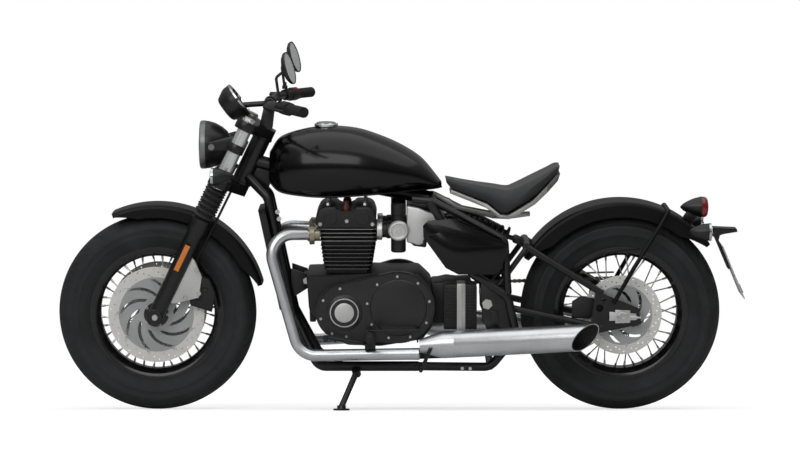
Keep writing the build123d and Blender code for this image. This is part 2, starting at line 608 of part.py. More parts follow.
# Rear axle: a hollow spindle with spacers and end nuts
with BuildPart() as rear_axle:
    reach = AXLE_PLATE_Y + AXLE_PLATE_T / 2
    cross_rod(REAR_AXLE.X, REAR_AXLE.Z, REAR_AXLE_R, -reach - 12, reach + 12)
    for side in (1, -1):
        near = side * (REAR_HUB_HALF + SPROCKET_T + SEAT_GAP) if side > 0 else side * (110 + SEAT_GAP)
        far_end = side * (AXLE_PLATE_Y - AXLE_PLATE_T / 2 - SEAT_GAP)
        cross_rod(REAR_AXLE.X, REAR_AXLE.Z, 20, min(near, far_end), max(near, far_end))
        with BuildSketch(side_plane(side * (reach + 5.5 + SEAT_GAP) + 5.5)):
            with Locations((REAR_AXLE.X, REAR_AXLE.Z)):
                RegularPolygon(radius=20, side_count=6)
        extrude(amount=11)
    axle_bores(REAR_AXLE.X, REAR_AXLE.Z, REAR_AXLE_BORE, reach + 12, REAR_BORE_DEEP)
keep("rear_axle", rear_axle.part)

# Rear caliper on its bracket, which hangs on the axle
REAR_CALIPER = [(-162, -8), (-104, -10), (-86, 16), (-92, 56), (-131, 60), (-160, 42)]
with BuildPart() as rear_caliper:
    plate([(REAR_AXLE.X + x, REAR_AXLE.Z + z) for x, z in REAR_CALIPER], -115, -82)
    plate([(REAR_AXLE.X + x, REAR_AXLE.Z + z) for x, z in ((-100, -2), (10, -20), (10, 20), (-100, 40))], -110, -103)
    cross_rod(REAR_AXLE.X, REAR_AXLE.Z, 22, -110, -103)
    half = DISC_T / 2 + PAD_GAP
    cross_rod(REAR_AXLE.X, REAR_AXLE.Z, REAR_DISC_R + 3, -REAR_DISC_Y - half, -REAR_DISC_Y + half, Mode.SUBTRACT, 40)
    cross_rod(REAR_AXLE.X, REAR_AXLE.Z, REAR_AXLE_R + SEAT_GAP, -120, -80, Mode.SUBTRACT)
keep("rear_caliper", rear_caliper.part)

# Engine: crankcase with the gearbox behind it, and its side covers
CRANKCASE = [(-300, 456), (-85, DECK_Z), (60, DECK_Z), (100, 424), (112, 340), (104, 290), (72, 249),
             (-63, 227), (-170, 231), (-242, 276), (-292, 347), (-296, 410)]
GEARBOX = [(100, 425), (225, 430), (238, 400), (238, 330), (222, 296), (100, 290)]
with BuildPart() as crankcase:
    plate(CRANKCASE, -CASE_HALF, CASE_HALF)
    plate(GEARBOX, -80, 80)
    cross_rod(OUTPUT_X, OUTPUT_Z, 14, 80, CHAIN_Y)
    cross_rod(OUTPUT_X, OUTPUT_Z, FRONT_PITCH_R - TOOTH_REACH, CHAIN_Y - SPROCKET_T / 2, CHAIN_Y + SPROCKET_T / 2,
              sides=FRONT_TEETH)
    plate([(-312, 408), (-290, 400), (-290, 450), (-312, 446)], -62 + SEAT_GAP, 62 - SEAT_GAP)
keep("crankcase", crankcase.part)

with BuildPart() as engine_covers:
    for side, front_r in ((-1, 92.0), (1, 80.0)):
        with BuildSketch(side_plane(CASE_HALF + COVER_BASE if side > 0 else -CASE_HALF)):
            with Locations((-178, 341)):
                RegularPolygon(front_r, TURNED_SIDES)
            with Locations((-5, 356)):
                RegularPolygon(116, TURNED_SIDES)
            make_hull()
        extrude(amount=COVER_BASE)
        chamfer(engine_covers.faces().sort_by(Axis.Y)[-1 if side > 0 else 0].edges(), 9)
        for x, z, r, high in ((-178, 341, 58, COVER_T - 4), (-5, 356, 84, COVER_T)):
            cross_rod(x, z, r, min(side * CASE_HALF, side * (CASE_HALF + high)),
                      max(side * CASE_HALF, side * (CASE_HALF + high)), sides=TURNED_SIDES)

    plate([(112.3, 300), (112.3, 415), (150, 424), (214, 416), (236, 380), (232, 322), (206, 296), (150, 290)],
          112, CASE_HALF)
keep("engine_covers", engine_covers.part)


# Cylinders: a core with cooling fins that widen towards the head
def finned(low, high, count, core, front_low, rear_low, front_high, rear_high, half):
    """Adds a finned block to the part being built; the fins grow from the low outline to the high one."""
    plate([(front_low + 14, low), (front_high + 14, high), (rear_high - 14, high), (rear_low - 14, low)], -core, core)
    for i in range(count):
        share = (i + 1) / count
        z = low + (high - low - FIN_T) * share
        x0 = front_low + (front_high - front_low) * share
        x1 = rear_low + (rear_high - rear_low) * share
        with BuildSketch(Plane.XY.offset(z)) as fin:
            Polygon((x0, -half + 16), (x0 + 16, -half), (x1 - 16, -half), (x1, -half + 16),
                    (x1, half - 16), (x1 - 16, half), (x0 + 16, half), (x0, half - 16), align=None)
        extrude(fin.sketch, amount=FIN_T)


with BuildPart() as barrel:
    finned(DECK_Z, HEAD_Z, BARREL_FINS, 112, -242, -92, -254, -78, 130)
keep("cylinder_barrel", barrel.part)

with BuildPart() as head:
    finned(HEAD_Z, CAM_Z, HEAD_FINS, 116, -255, -74, -256, -74, 136)
    plate([(-262, CAM_Z), (-271, 640), (-258, 668), (-240, 678), (-205, 678), (-188, 656), (-158, 656),
           (-141, 678), (-100, 678), (-84, 668), (-75, 640), (-80, CAM_Z)], -138, 138)
keep("cylinder_head", head.part)

# Throttle bodies behind the head, with a cap on each outer side, and the airbox they draw from
with BuildPart() as throttles:
    for side in (1, -1):
        y = side * 96
        with BuildSketch(Plane(origin=(-74 + SEAT_GAP, y, 598), z_dir=(1, 0, 0))):
            RegularPolygon(27, TURNED_SIDES)
        extrude(amount=95 - 2 * SEAT_GAP)
        with BuildSketch(Plane(origin=(-5, y, 527), z_dir=(0, 0, 1))):
            RegularPolygon(24.5, TURNED_SIDES)
        extrude(amount=157)
        cross_rod(-5, 599, 32.5, min(side * 114, side * 138), max(side * 114, side * 138),
                  sides=TURNED_SIDES)
keep("throttle_bodies", throttles.part)

with BuildPart() as airbox:
    plate([(21, 674), (100, 657), (84, 539), (44, 544), (21, 566)], -84, 84)
    for side in (1, -1):
        plate([(21, 640), (60, 640), (60, 560), (21, 560)], min(side * 80, side * 112), max(side * 80, side * 112))
keep("airbox", airbox.part)

# Exhaust: a bent header each side, then a cone and a slash-cut silencer
with BuildPart() as headers:
    for side in (1, -1):
        round_bar([(-261, side * 89, PORT_Z), (-431, side * 126, 587), (-320, side * 158, 200),
                   (59, side * 202, 213)], PIPE_R, 67, sides=PIPE_SIDES)
        for x, r, long in ((PORT_X, PORT_R, 40), (PORT_X - 18, 34, 16)):
            with BuildSketch(Plane(origin=(x, side * 88, PORT_Z), z_dir=(-1, 0, 0))):
                RegularPolygon(r, PIPE_SIDES)
            extrude(amount=long)
keep("exhaust_headers", headers.part)

SILENCER_TILT = 2.9
SLASH_AT = 452.6
silencer_way = Vector(cos(radians(SILENCER_TILT)), 0, sin(radians(SILENCER_TILT)))
with BuildPart() as silencers:
    for side in (1, -1):
        start = Vector(SILENCER_X, side * SILENCER_Y, SILENCER_Z)
        with BuildSketch(Plane(origin=(62 + SEAT_GAP, side * 202, 214), x_dir=(0, 1, 0), z_dir=(1, 0, 0))):
            RegularPolygon(PIPE_R + 2, TURNED_SIDES)
        with BuildSketch(Plane(origin=start, x_dir=(0, 1, 0), z_dir=silencer_way)):
            RegularPolygon(SILENCER_R, TURNED_SIDES)
        loft(ruled=True)
        with BuildSketch(Plane(origin=start, x_dir=(0, 1, 0), z_dir=silencer_way)):
            RegularPolygon(SILENCER_R, TURNED_SIDES)
        extrude(amount=SILENCER_L)
        with BuildSketch(Plane(origin=start + silencer_way * SILENCER_L, x_dir=(0, 1, 0), z_dir=silencer_way)):
            RegularPolygon(SILENCER_R - SILENCER_WALL, TURNED_SIDES)
        extrude(amount=-SILENCER_DEPTH, mode=Mode.SUBTRACT)
        slash = start + silencer_way * SLASH_AT
        with BuildSketch(Plane(origin=slash, z_dir=(0.686, side * 0.654, -0.319))):
            Rectangle(6 * SILENCER_R, 6 * SILENCER_R)
        extrude(amount=3 * SILENCER_R, mode=Mode.SUBTRACT)
        near = LOOP_Y + 4 + SEAT_GAP
        plate([(292, 345), (314, 345), (318, 288), (288, 288)], min(side * near, side * (near + 6)),
              max(side * near, side * (near + 6)))
        plate([(288, 286), (318, 286), (318, 294), (288, 294)], min(side * near, side * 200),
              max(side * near, side * 200))
keep("silencers", silencers.part)

# Radiator ahead of the down tubes
down_way = Vector(-80, 0, 378).normalized()
down_front = Vector(-down_way.Z, 0, down_way.X)
with BuildPart() as radiator:
    base = Vector(-345, 0, 322) + down_way * 24 + down_front * (TUBE_R + SEAT_GAP)
    with BuildSketch(Plane(origin=base, x_dir=(0, -1, 0), z_dir=down_front)):
        Rectangle(176, 330, align=(Align.CENTER, Align.MIN))
    extrude(amount=22)
keep("radiator", radiator.part)

# Fuel tank: a teardrop lofted along its length, with a tunnel for the backbone
TANK_SECTIONS = (
    # x, bottom z, top z, half width at the bottom, half width at the middle
    (-420, 745, 842, 40, 54),
    (-385, 716, 890, 66, 90),
    (-310, 705, 916, 92, 130),
    (-230, 702, 928, 104, 145),
    (-140, 706, 919, 102, 147),
    (-60, 712, 894, 96, 138),
    (10, 718, 862, 82, 120),
    (70, 722, 822, 66, 96),
    (134, 728, 744, 40, 48),
)
with BuildPart() as tank:
    rings = []
    for x, low, top, half_low, half_mid in TANK_SECTIONS:
        high = top - low
        right = [(half_low, low), (half_mid, low + high * 0.34), (half_mid * 0.94, low + high * 0.6),
                 (half_mid * 0.7, low + high * 0.84), (half_mid * 0.32, low + high * 0.98)]
        with BuildSketch(Plane(origin=(x, 0, 0), x_dir=(0, 1, 0), z_dir=(1, 0, 0))) as ring:
            Polygon(*right, *[(-y, z) for y, z in reversed(right)], align=None)
        rings.append(ring.sketch)
    loft(rings, ruled=True)
    plate([(-430, 600), (-430, 840), (-280, 794), (-60, 750), (140, 713), (140, 600)], -30, 30, mode=Mode.SUBTRACT)
keep("fuel_tank", tank.part)

with BuildPart() as cap:
    turned(Vector(-238, 0, 923.8), Vector(0, 0, 1), ((0, 38), (10, 38), (14, 30)))
keep("fuel_cap", cap.part)

# Side covers over the frame's triangle, with a crease
SIDE_COVER = [(73, 620), (88, 635), (164, 642), (338, 564), (346, 541), (316, 470), (294, 463), (186, 463),
              (146, 484), (75, 582)]
with BuildPart() as side_covers:
    for side in (1, -1):
        plate(SIDE_COVER, min(side * 156, side * 166), max(side * 156, side * 166))
        raised = [(128, 600), (180, 553), (336, 556), (310, 476), (292, 470), (188, 470), (152, 489), (86, 586)]
        plate(raised, min(side * 156, side * 174), max(side * 156, side * 174))
keep("side_covers", side_covers.part)

# Ribbed box on the left, with its strap
with BuildPart() as battery_box:
    plate([(140, 284), (246, 284), (246, 424), (240, 430), (146, 430), (140, 424)], -156, -80)
    for z in (306, 318, 330, 372, 384, 396):
        plate([(140, z), (246, z), (246, z + 4), (140, z + 4)], -159, -156)
    plate([(181, 280), (210, 280), (210, 434), (181, 434)], -161, -80)
keep("battery_box", battery_box.part)

# Seat: a pad on a pressed pan, which a bracket holds above the shock
SEAT_PLAN = [(128, -46), (150, -66), (230, -84), (380, -SEAT_HALF), (470, -128), (520, -70),
             (520, 70), (470, 128), (380, SEAT_HALF), (230, 84), (150, 66), (128, 46)]
with BuildPart() as pan:
    plate([(160, 713), (277, 669), (318, 637), (348, 636), (378, 652), (432, 685), (506, 755), (514, 778),
           (500, 772), (426, 697), (373, 664), (346, 647), (322, 648), (282, 680), (164, 724)], -SEAT_HALF, SEAT_HALF)
    with BuildSketch(Plane.XY.offset(600)):
        Polygon(*SEAT_PLAN, align=None)
    extrude(amount=240, mode=Mode.INTERSECT)
    plate([(112, 705), (160, 688), (185, 668), (318, 642), (348, 641), (420, 645), (420, 634), (348, 624),
           (300, 626), (180, 658), (150, 676), (116, 697)], -22, 22)
    cross_rod(104, 690, LOOP_R + SEAT_GAP, -30, 30, mode=Mode.SUBTRACT)
keep("seat_pan", pan.part)

with BuildPart() as pad:
    plate([(164, 724.3), (282, 680.3), (322, 648.3), (346, 647.3), (373, 664.3), (426, 697.3), (500, 772.3),
           (518, 780), (519, 792), (500, 803), (434, 766), (371, 736), (345, 728), (301, 729), (190, 740),
           (151, 766), (142, 753)], -SEAT_HALF - 2, SEAT_HALF + 2)
    with BuildSketch(Plane.XY.offset(600)):
        Polygon(*SEAT_PLAN, align=None)
    extrude(amount=240, mode=Mode.INTERSECT)
keep("seat_pad", pad.part)


# Handlebar, risers and grips
RISER_TOP = Vector(-420, 0, 997)
BAR_WAY = [(-420, 0, 997), (-420, 70, 997), (-402, 190, 1007), (-298, 400, 1002)]
with BuildPart() as handlebar:
    route = [(x, -y, z) for x, y, z in reversed(BAR_WAY[1:])] + BAR_WAY[1:]
    round_bar(route, BAR_R, 70)
    yoke_top = STEER_BASE + UP_FORK * FORK_TOP
    riser_front = yoke_top + BACK_FORK * -24 + UP_FORK * SEAT_GAP
    riser_back = yoke_top + BACK_FORK * 18 + UP_FORK * SEAT_GAP
    for side in (1, -1):
        plate([(riser_front.X, riser_front.Z), (riser_back.X, riser_back.Z), (-404, 990), (-437, 990)],
              side * 50 - 14, side * 50 + 14)
        cross_rod(RISER_TOP.X, RISER_TOP.Z, 20, side * 50 - 14, side * 50 + 14)
keep("handlebar", handlebar.part)

bar_end_way = (Vector(BAR_WAY[3]) - Vector(BAR_WAY[2])).normalized()


def on_bar(side, back):
    """A plane across one end of the bar, at a distance in from its end; local z runs outwards."""
    spot = Vector(BAR_WAY[3]) - bar_end_way * back
    return Plane(origin=(spot.X, side * spot.Y, spot.Z), z_dir=(bar_end_way.X, side * bar_end_way.Y, bar_end_way.Z))


with BuildPart() as grips:
    for side in (1, -1):
        with BuildSketch(on_bar(side, GRIP_L - 6)):
            RegularPolygon(GRIP_R, TURNED_SIDES)
            RegularPolygon(BAR_R + SEAT_GAP, TURNED_SIDES, major_radius=False, mode=Mode.SUBTRACT)
        extrude(amount=GRIP_L - 6)
keep("grips", grips.part)

with BuildPart() as controls:
    for side in (1, -1):
        with BuildSketch(on_bar(side, GRIP_L + 44)):
            RegularPolygon(22, BAR_SIDES)
        extrude(amount=48)
        perch = on_bar(side, GRIP_L + 74).origin
        with BuildSketch(on_bar(side, GRIP_L + 74)):
            RegularPolygon(19, BAR_SIDES)
        extrude(amount=30.5)
        hinge_at = perch + Vector(-48, side * 14, 0)
        round_bar([perch + Vector(-12, side * 6, 0), hinge_at], 9)
        round_bar([hinge_at, on_bar(side, 14).origin + Vector(-56, side * 4, 0)], 5)
        with BuildSketch(on_bar(side, GRIP_L + 96)):
            RegularPolygon(BAR_R + SEAT_GAP, TURNED_SIDES, major_radius=False)
        extrude(amount=110, mode=Mode.SUBTRACT)
keep("bar_controls", controls.part)

with BuildPart() as mirrors:
    for side in (1, -1):
        perch = on_bar(side, GRIP_L + 74).origin
        foot = perch + Vector(0, side * 8, 19 + SEAT_GAP)
        centre = Vector(-352, foot.Y + side * 14, 1128)
        look = Vector(0.962, 0, 0.275)
        round_bar([foot, foot + Vector(-10, side * 6, 74), centre - look * 4], 4.5, 14)
        turned(centre, look, ((-18, 16), (-8, MIRROR_R - 12), (1, MIRROR_R), (8, MIRROR_R)), TURNED_SIDES)
keep("mirrors", mirrors.part)

# Instrument pod ahead of the bar
dial_back = Vector(-564, 0, 974.5)
dial_face = Vector(-514.5, 0, 1012.2)
dial_way = (dial_face - dial_back).normalized()
with BuildPart() as instrument:
    turned(dial_back, dial_way, ((0, DIAL_R * 0.72), (36, DIAL_R), ((dial_face - dial_back).length, DIAL_R)), 24)
    round_bar([(-535, 0, 990), (RISER_TOP.X - BAR_R - SEAT_GAP, 0, RISER_TOP.Z)], 9)
keep("instrument", instrument.part)

# Headlamp: a round bowl on a bolt between two ears that clamp the stanchions
LAMP_Z = 864.0
LAMP_BOLT_X = -604.0
LAMP_EAR_Y = 80.0
with BuildPart() as headlight:
    turned(Vector(-645, 0, LAMP_Z), Vector(1, 0, 0),
           ((0, 66), (5, HEADLAMP_R), (19, HEADLAMP_R), (45, 72), (85, 48), (102, 20)), 24)
    cross_rod(LAMP_BOLT_X, LAMP_Z, 6, -LAMP_EAR_Y - 9, LAMP_EAR_Y + 9)
keep("headlight", headlight.part)

with BuildPart() as lamp_brackets:
    for side in (1, -1):
        leg = FRONT_AXLE + Vector(0, side * FORK_HALF, 0)
        near, far_end = side * LAMP_EAR_Y, side * (LAMP_EAR_Y + 5)
        plate([(-616, 850), (-616, 878), (-534, 900), (-508, 856)], min(near, far_end), max(near, far_end))
        with BuildSketch(leg_plane(leg, 588)):
            RegularPolygon(STANCHION_R + 5.5, TURNED_SIDES)
        extrude(amount=28)
    cross_rod(LAMP_BOLT_X, LAMP_Z, 6 + SEAT_GAP, -90, 90, Mode.SUBTRACT)
    for side in (1, -1):
        leg = FRONT_AXLE + Vector(0, side * FORK_HALF, 0)
        turned(Vector(-606, side * 170, 778), Vector(1, 0, 0),
               ((0, 24), (6, INDICATOR_R), (31, 26), (61, 15), (77, 3)), TURNED_SIDES)
        near, far_end = side * (FORK_HALF + STANCHION_R + 2), side * 155
        cross_rod(-566, 778, 6.5, min(near, far_end), max(near, far_end))
        with BuildSketch(leg_plane(leg, 498)):
            RegularPolygon(STANCHION_R + 5.5, TURNED_SIDES)
        extrude(amount=22)
    with BuildSketch(leg_plane(FRONT_AXLE, 490)):
        with Locations((0, FORK_HALF), (0, -FORK_HALF)):
            RegularPolygon(BORE_R, TURNED_SIDES, major_radius=False)
    extrude(amount=140, mode=Mode.SUBTRACT)
keep("lamp_brackets", lamp_brackets.part)

# Brake hoses: from the lower yoke down behind each leg to its caliper
with BuildPart() as hoses:
    for side in (1, -1):
        top = FRONT_AXLE + BACK_FORK * 45 + UP_FORK * (LOWER_YOKE_AT - SEAT_GAP)
        round_bar([(top.X, side * 77, top.Z), (-594, side * 77, 616), (-652, side * 77, 505),
                   (-662, side * 77, 463)], 4, 60)
keep("brake_hoses", hoses.part)

# Tail lamp on the mudguard's crown, indicators on stalks, and the plate's carrier
with BuildPart() as tail_lamp:
    turned(Vector(997, 0, 661), Vector(-1, 0, 0), ((0, 28), (9, 34), (42, 31), (74, 17), (91, 4)))
    plate([(915.2, 627.3), (943.8, 607.2), (968, 640), (932, 652)], -14, 14)
keep("tail_lamp", tail_lamp.part)

with BuildPart() as rear_indicators:
    for side in (1, -1):
        turned(Vector(998, side * 150, 598), Vector(-1, 0, 0),
               ((0, 24), (7, INDICATOR_R), (33, 26), (64, 15), (82, 3)), TURNED_SIDES)
        near, far_end = side * (REAR_GUARD_HALF + SEAT_GAP), side * 140
        cross_rod(945, 592, 6.5, min(near, far_end), max(near, far_end))
keep("rear_indicators", rear_indicators.part)

with BuildPart() as plate_carrier:
    plate([(966.7, 585.6), (1000, 597), (1088, 593), (1090, 583), (1046, 576), (1033.6, 572), (1029.7, 557),
           (1068.7, 464), (1061.7, 460.9), (1020, 558), (1008, 573), (985.3, 566.4)], -28, 28)
keep("plate_carrier", plate_carrier.part)

with BuildPart() as number_plate:
    plate([(1036.2, 542.1), (1108, 372.4), (1110.8, 373.6), (1039, 543.3)], -90, 90)
keep("number_plate", number_plate.part)

# Footrests: a hanger under each cover, a folding peg and a pedal
with BuildPart() as footrests:
    for side in (1, -1):
        def span(near, far):
            return min(side * near, side * far), max(side * near, side * far)

        plate([(-112, 229), (-78, 229), (-78, 240), (-112, 240)], *span(CASE_HALF + SEAT_GAP, 206))
        plate([(-112, 229), (-78, 229), (-78, 262), (-84, 290), (-106, 290), (-112, 262)], *span(205, 213))
        cross_rod(-95, 272, 13, *span(213, 300))
        round_bar([(-90, side * 218, 244), (-236, side * 219, 268)], 6)
        cross_rod(-236, 268, 8, *span(213, 262))
keep("footrests", footrests.part)

# Side stand: a leg on a tilted pivot pin, with a foot that lies flat on the ground
with BuildPart() as side_stand:
    round_bar([STAND_PIVOT, STAND_FOOT + ground_up * 12], STAND_R)
    for r, high, sides in ((26, 6, TURNED_SIDES), (14, 16, BAR_SIDES)):
        with BuildSketch(Plane(origin=STAND_FOOT, z_dir=ground_up)):
            RegularPolygon(r, sides)
        extrude(amount=high)
    with BuildSketch(Plane(origin=STAND_PIVOT - STAND_AXIS * 12, z_dir=STAND_AXIS)):
        RegularPolygon(14, BAR_SIDES)
    extrude(amount=24)
    with BuildSketch(Plane(origin=STAND_PIVOT - STAND_AXIS * 12, z_dir=STAND_AXIS)):
        RegularPolygon(6 + SEAT_GAP, BAR_SIDES, major_radius=False)
    extrude(amount=24, mode=Mode.SUBTRACT)
keep("side_stand", side_stand.part)

# Parked: leaned over to the left, lifted so that both tyres touch the ground, and centred
lean = Location((0, 0, GROUND_LIFT)) * Location((0, 0, 0), (LEAN, 0, 0))
boxes = [part.moved(lean).bounding_box() for part in pieces.values()]
middle_x = (min(box.min.X for box in boxes) + max(box.max.X for box in boxes)) / 2
middle_y = (min(box.min.Y for box in boxes) + max(box.max.Y for box in boxes)) / 2
PARK = Location((-middle_x, -middle_y, 0)) * lean

os.makedirs("parts", exist_ok=True)
for label, part in pieces.items():
    parked = part.moved(PARK)
    parked.label = label
    export_step(parked, f"parts/{label}.step")
print(len(pieces), "pieces")
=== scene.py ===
"""The look of a bobber motorcycle that leans on its side stand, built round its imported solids."""
import json
from math import cos, pi, radians, sin, tan

import bmesh
import bpy
from mathutils import Matrix, Vector
from mathutils.geometry import convex_hull_2d


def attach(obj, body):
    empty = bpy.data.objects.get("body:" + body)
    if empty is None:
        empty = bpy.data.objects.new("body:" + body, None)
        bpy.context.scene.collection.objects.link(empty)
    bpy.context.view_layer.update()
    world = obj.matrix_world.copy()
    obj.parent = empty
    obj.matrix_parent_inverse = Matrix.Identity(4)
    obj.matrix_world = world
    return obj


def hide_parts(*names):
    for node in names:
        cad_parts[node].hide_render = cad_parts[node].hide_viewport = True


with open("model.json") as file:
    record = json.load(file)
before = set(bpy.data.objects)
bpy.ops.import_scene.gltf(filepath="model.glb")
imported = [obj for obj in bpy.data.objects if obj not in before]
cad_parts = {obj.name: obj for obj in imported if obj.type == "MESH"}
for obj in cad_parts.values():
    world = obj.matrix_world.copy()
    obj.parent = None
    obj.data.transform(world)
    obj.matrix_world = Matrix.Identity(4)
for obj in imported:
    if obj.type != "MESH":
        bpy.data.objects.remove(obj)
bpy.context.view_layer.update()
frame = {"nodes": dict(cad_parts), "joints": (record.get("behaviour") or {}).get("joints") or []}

# How the machine stands: it is drawn upright below, in millimetres, x to the rear, y to the right and
# z up, and each piece goes to its parked place, leaning to the left, about the front wheel's hinge
LEAN = 9.0
FRONT_AXLE = Vector((-786, 0, 320))
REAR_AXLE = Vector((714, 0, 323))
lean = Matrix.Rotation(radians(LEAN), 4, "X") @ Matrix.Scale(0.001, 4)
hinge = next(joint for joint in frame["joints"] if joint["name"] == "front_wheel")
park = Matrix.Translation(Vector(hinge["pos_m"]) - lean @ FRONT_AXLE) @ lean

# The studio: a long lens at the height of the wheels, a large plain floor, and soft light from above,
# from the camera's side and from behind, in a surround that the camera sees white and metal mirrors grey
LENS = 144.6
DISTANCE = 10.4
CAMERA_HIGH = 0.22
AIM_Z = 573.0
MIRRORED_LOW, MIRRORED_HIGH = 0.14, 0.34
FILL = 0.04
FLOOR_HALF = 400
FLOOR_NEAR, FLOOR_FAR = 1.0, 2.6
FLOOR_GLOW = 0.62
eye = bpy.data.cameras.new("camera")
eye.lens = LENS
eye.clip_end = 900
camera = bpy.data.objects.new("camera", eye)
bpy.context.scene.collection.objects.link(camera)
aim = park @ Vector((0, 0, AIM_Z))
camera.location = (aim.x, aim.y - DISTANCE, CAMERA_HIGH)
camera.rotation_euler = (aim - camera.location).to_track_quat("-Z", "Y").to_euler()
bpy.context.scene.camera = camera
bpy.context.scene.view_settings.view_transform = "Standard"


def add(tree, kind, inputs=(), **settings):
    """Adds a node with its settings; each input is a value or the socket that feeds it."""
    node = tree.nodes.new(kind)
    for name, value in settings.items():
        setattr(node, name, value)
    for key, value in dict(inputs).items():
        if isinstance(value, bpy.types.NodeSocket):
            tree.links.new(value, node.inputs[key])
        else:
            node.inputs[key].default_value = value
    return node


def linear(colour):
    """Turns an sRGB hex colour to the linear one that a shader takes."""
    parts = [int(colour[i:i + 2], 16) / 255 for i in (0, 2, 4)]
    return (*(p / 12.92 if p <= 0.04045 else ((p + 0.055) / 1.055) ** 2.4 for p in parts), 1)


world = bpy.data.worlds.new("surround")
world.use_nodes = True
bpy.context.scene.world = world
sky = world.node_tree
sky.nodes.clear()
ray = add(sky, "ShaderNodeLightPath")
seen = add(sky, "ShaderNodeMath", {0: ray.outputs["Is Camera Ray"], 1: ray.outputs["Is Transmission Ray"]},
           operation="MAXIMUM")
way = add(sky, "ShaderNodeSeparateXYZ", {0: add(sky, "ShaderNodeTexCoord").outputs["Generated"]})
level = add(sky, "ShaderNodeMapRange", {"Value": way.outputs["Z"], "From Min": 0.05, "From Max": 0.6,
                                        "To Min": MIRRORED_LOW, "To Max": MIRRORED_HIGH})
mirrored = add(sky, "ShaderNodeMath", {0: ray.outputs["Is Glossy Ray"], 1: level.outputs[0]}, operation="MULTIPLY")
shown = add(sky, "ShaderNodeMath", {0: seen.outputs[0], 1: mirrored.outputs[0]}, operation="MAXIMUM")
strength = add(sky, "ShaderNodeMath", {0: shown.outputs[0], 1: FILL}, operation="MAXIMUM")
glow = add(sky, "ShaderNodeBackground", {"Color": (1, 1, 1, 1), "Strength": strength.outputs[0]})
add(sky, "ShaderNodeOutputWorld", {"Surface": glow.outputs[0]})

for name, place, toward, power, wide, high in (
    ("lamp_above", (0.0, -0.6, 3.6), (0, 0.1, 0.4), 62, 6.0, 4.0),
    ("lamp_side", (-1.6, -4.6, 2.6), (0, 0, 0.5), 88, 5.0, 2.6),
    ("lamp_behind", (1.8, 3.8, 2.6), (0, 0, 0.5), 34, 5.0, 2.4),
):
    lamp = bpy.data.lights.new(name, "AREA")
    lamp.shape = "RECTANGLE"
    lamp.size, lamp.size_y, lamp.energy = wide, high, power
    holder = bpy.data.objects.new(name, lamp)
    holder.visible_glossy = name != "lamp_behind"
    bpy.context.scene.collection.objects.link(holder)
    holder.location = place
    holder.rotation_euler = (Vector(toward) - Vector(place)).to_track_quat("-Z", "Y").to_euler()

floor_bm = bmesh.new()
bmesh.ops.create_grid(floor_bm, x_segments=1, y_segments=1, size=FLOOR_HALF)
floor_mesh = bpy.data.meshes.new("floor")
floor_bm.to_mesh(floor_mesh)
floor_bm.free()
floor_paint = bpy.data.materials.new("plain white floor paint")
floor_paint.use_nodes = True
ground = floor_paint.node_tree
ground.nodes.clear()
ray = add(ground, "ShaderNodeLightPath")
matt = add(ground, "ShaderNodeBsdfDiffuse", {"Color": linear("f4f4f4")})
spread = add(ground, "ShaderNodeVectorMath", {0: add(ground, "ShaderNodeTexCoord").outputs["Object"]},
             operation="LENGTH")
lift = add(ground, "ShaderNodeMapRange", {"Value": spread.outputs["Value"], "From Min": FLOOR_NEAR,
                                          "From Max": FLOOR_FAR, "To Min": FLOOR_GLOW, "To Max": 1.0},
           interpolation_type="SMOOTHSTEP")
lit = add(ground, "ShaderNodeEmission", {"Color": (1, 1, 1, 1), "Strength": lift.outputs["Result"]})
both = add(ground, "ShaderNodeAddShader", {0: matt.outputs[0], 1: lit.outputs[0]})
seen = add(ground, "ShaderNodeMixShader", {0: ray.outputs["Is Camera Ray"], 1: matt.outputs[0], 2: both.outputs[0]})
add(ground, "ShaderNodeOutputMaterial", {"Surface": seen.outputs[0]})
floor_mesh.materials.append(floor_paint)
studio_floor = bpy.data.objects.new("studio_floor", floor_mesh)
bpy.context.scene.collection.objects.link(studio_floor)


# Tyres: thick moulded rubber with a round crown, slanting grooves and a ridged side wall, seated on the
# rims. Rubber is dark and dry, paler where dust lies in it
def surface(name, colour, other, grain_mm, rough, relief_mm, stretch=(1, 1, 1), **sockets):
    """A finish whose colour drifts in hand-sized patches, with a grain of a size and a fine relief."""
    # The grain is drawn wider than real grain, which is too fine to show where a pixel covers 3 mm
    finish = bpy.data.materials.new(name)
    finish.use_nodes = True
    tree = finish.node_tree
    tree.nodes.clear()
    spot = add(tree, "ShaderNodeTexCoord")
    lay = add(tree, "ShaderNodeMapping", {"Vector": spot.outputs["Object"], "Scale": stretch})
    grain = add(tree, "ShaderNodeTexNoise",
                {"Vector": lay.outputs["Vector"], "Scale": 1000 / grain_mm, "Detail": 4.0})
    drift = add(tree, "ShaderNodeTexNoise", {"Vector": spot.outputs["Object"], "Scale": 11.0, "Detail": 5.0})
    share = add(tree, "ShaderNodeMapRange", {"Value": drift.outputs[0], "From Min": 0.35, "From Max": 0.7})
    tint = add(tree, "ShaderNodeMix", {0: share.outputs[0], 6: linear(colour), 7: linear(other)}, data_type="RGBA")
    dull = add(tree, "ShaderNodeMapRange", {"Value": grain.outputs[0], "From Min": 0.3, "From Max": 0.7,
                                           "To Min": rough[0], "To Max": rough[1]})
    relief = add(tree, "ShaderNodeBump", {"Height": grain.outputs[0], "Distance": relief_mm / 1000})
    shader = add(tree, "ShaderNodeBsdfPrincipled",
                 {"Base Color": tint.outputs[2], "Roughness": dull.outputs[0], "Normal": relief.outputs[0],
                  **{key.replace("_", " "): value for key, value in sockets.items()}})
    add(tree, "ShaderNodeOutputMaterial", {"Surface": shader.outputs[0]})
    return finish


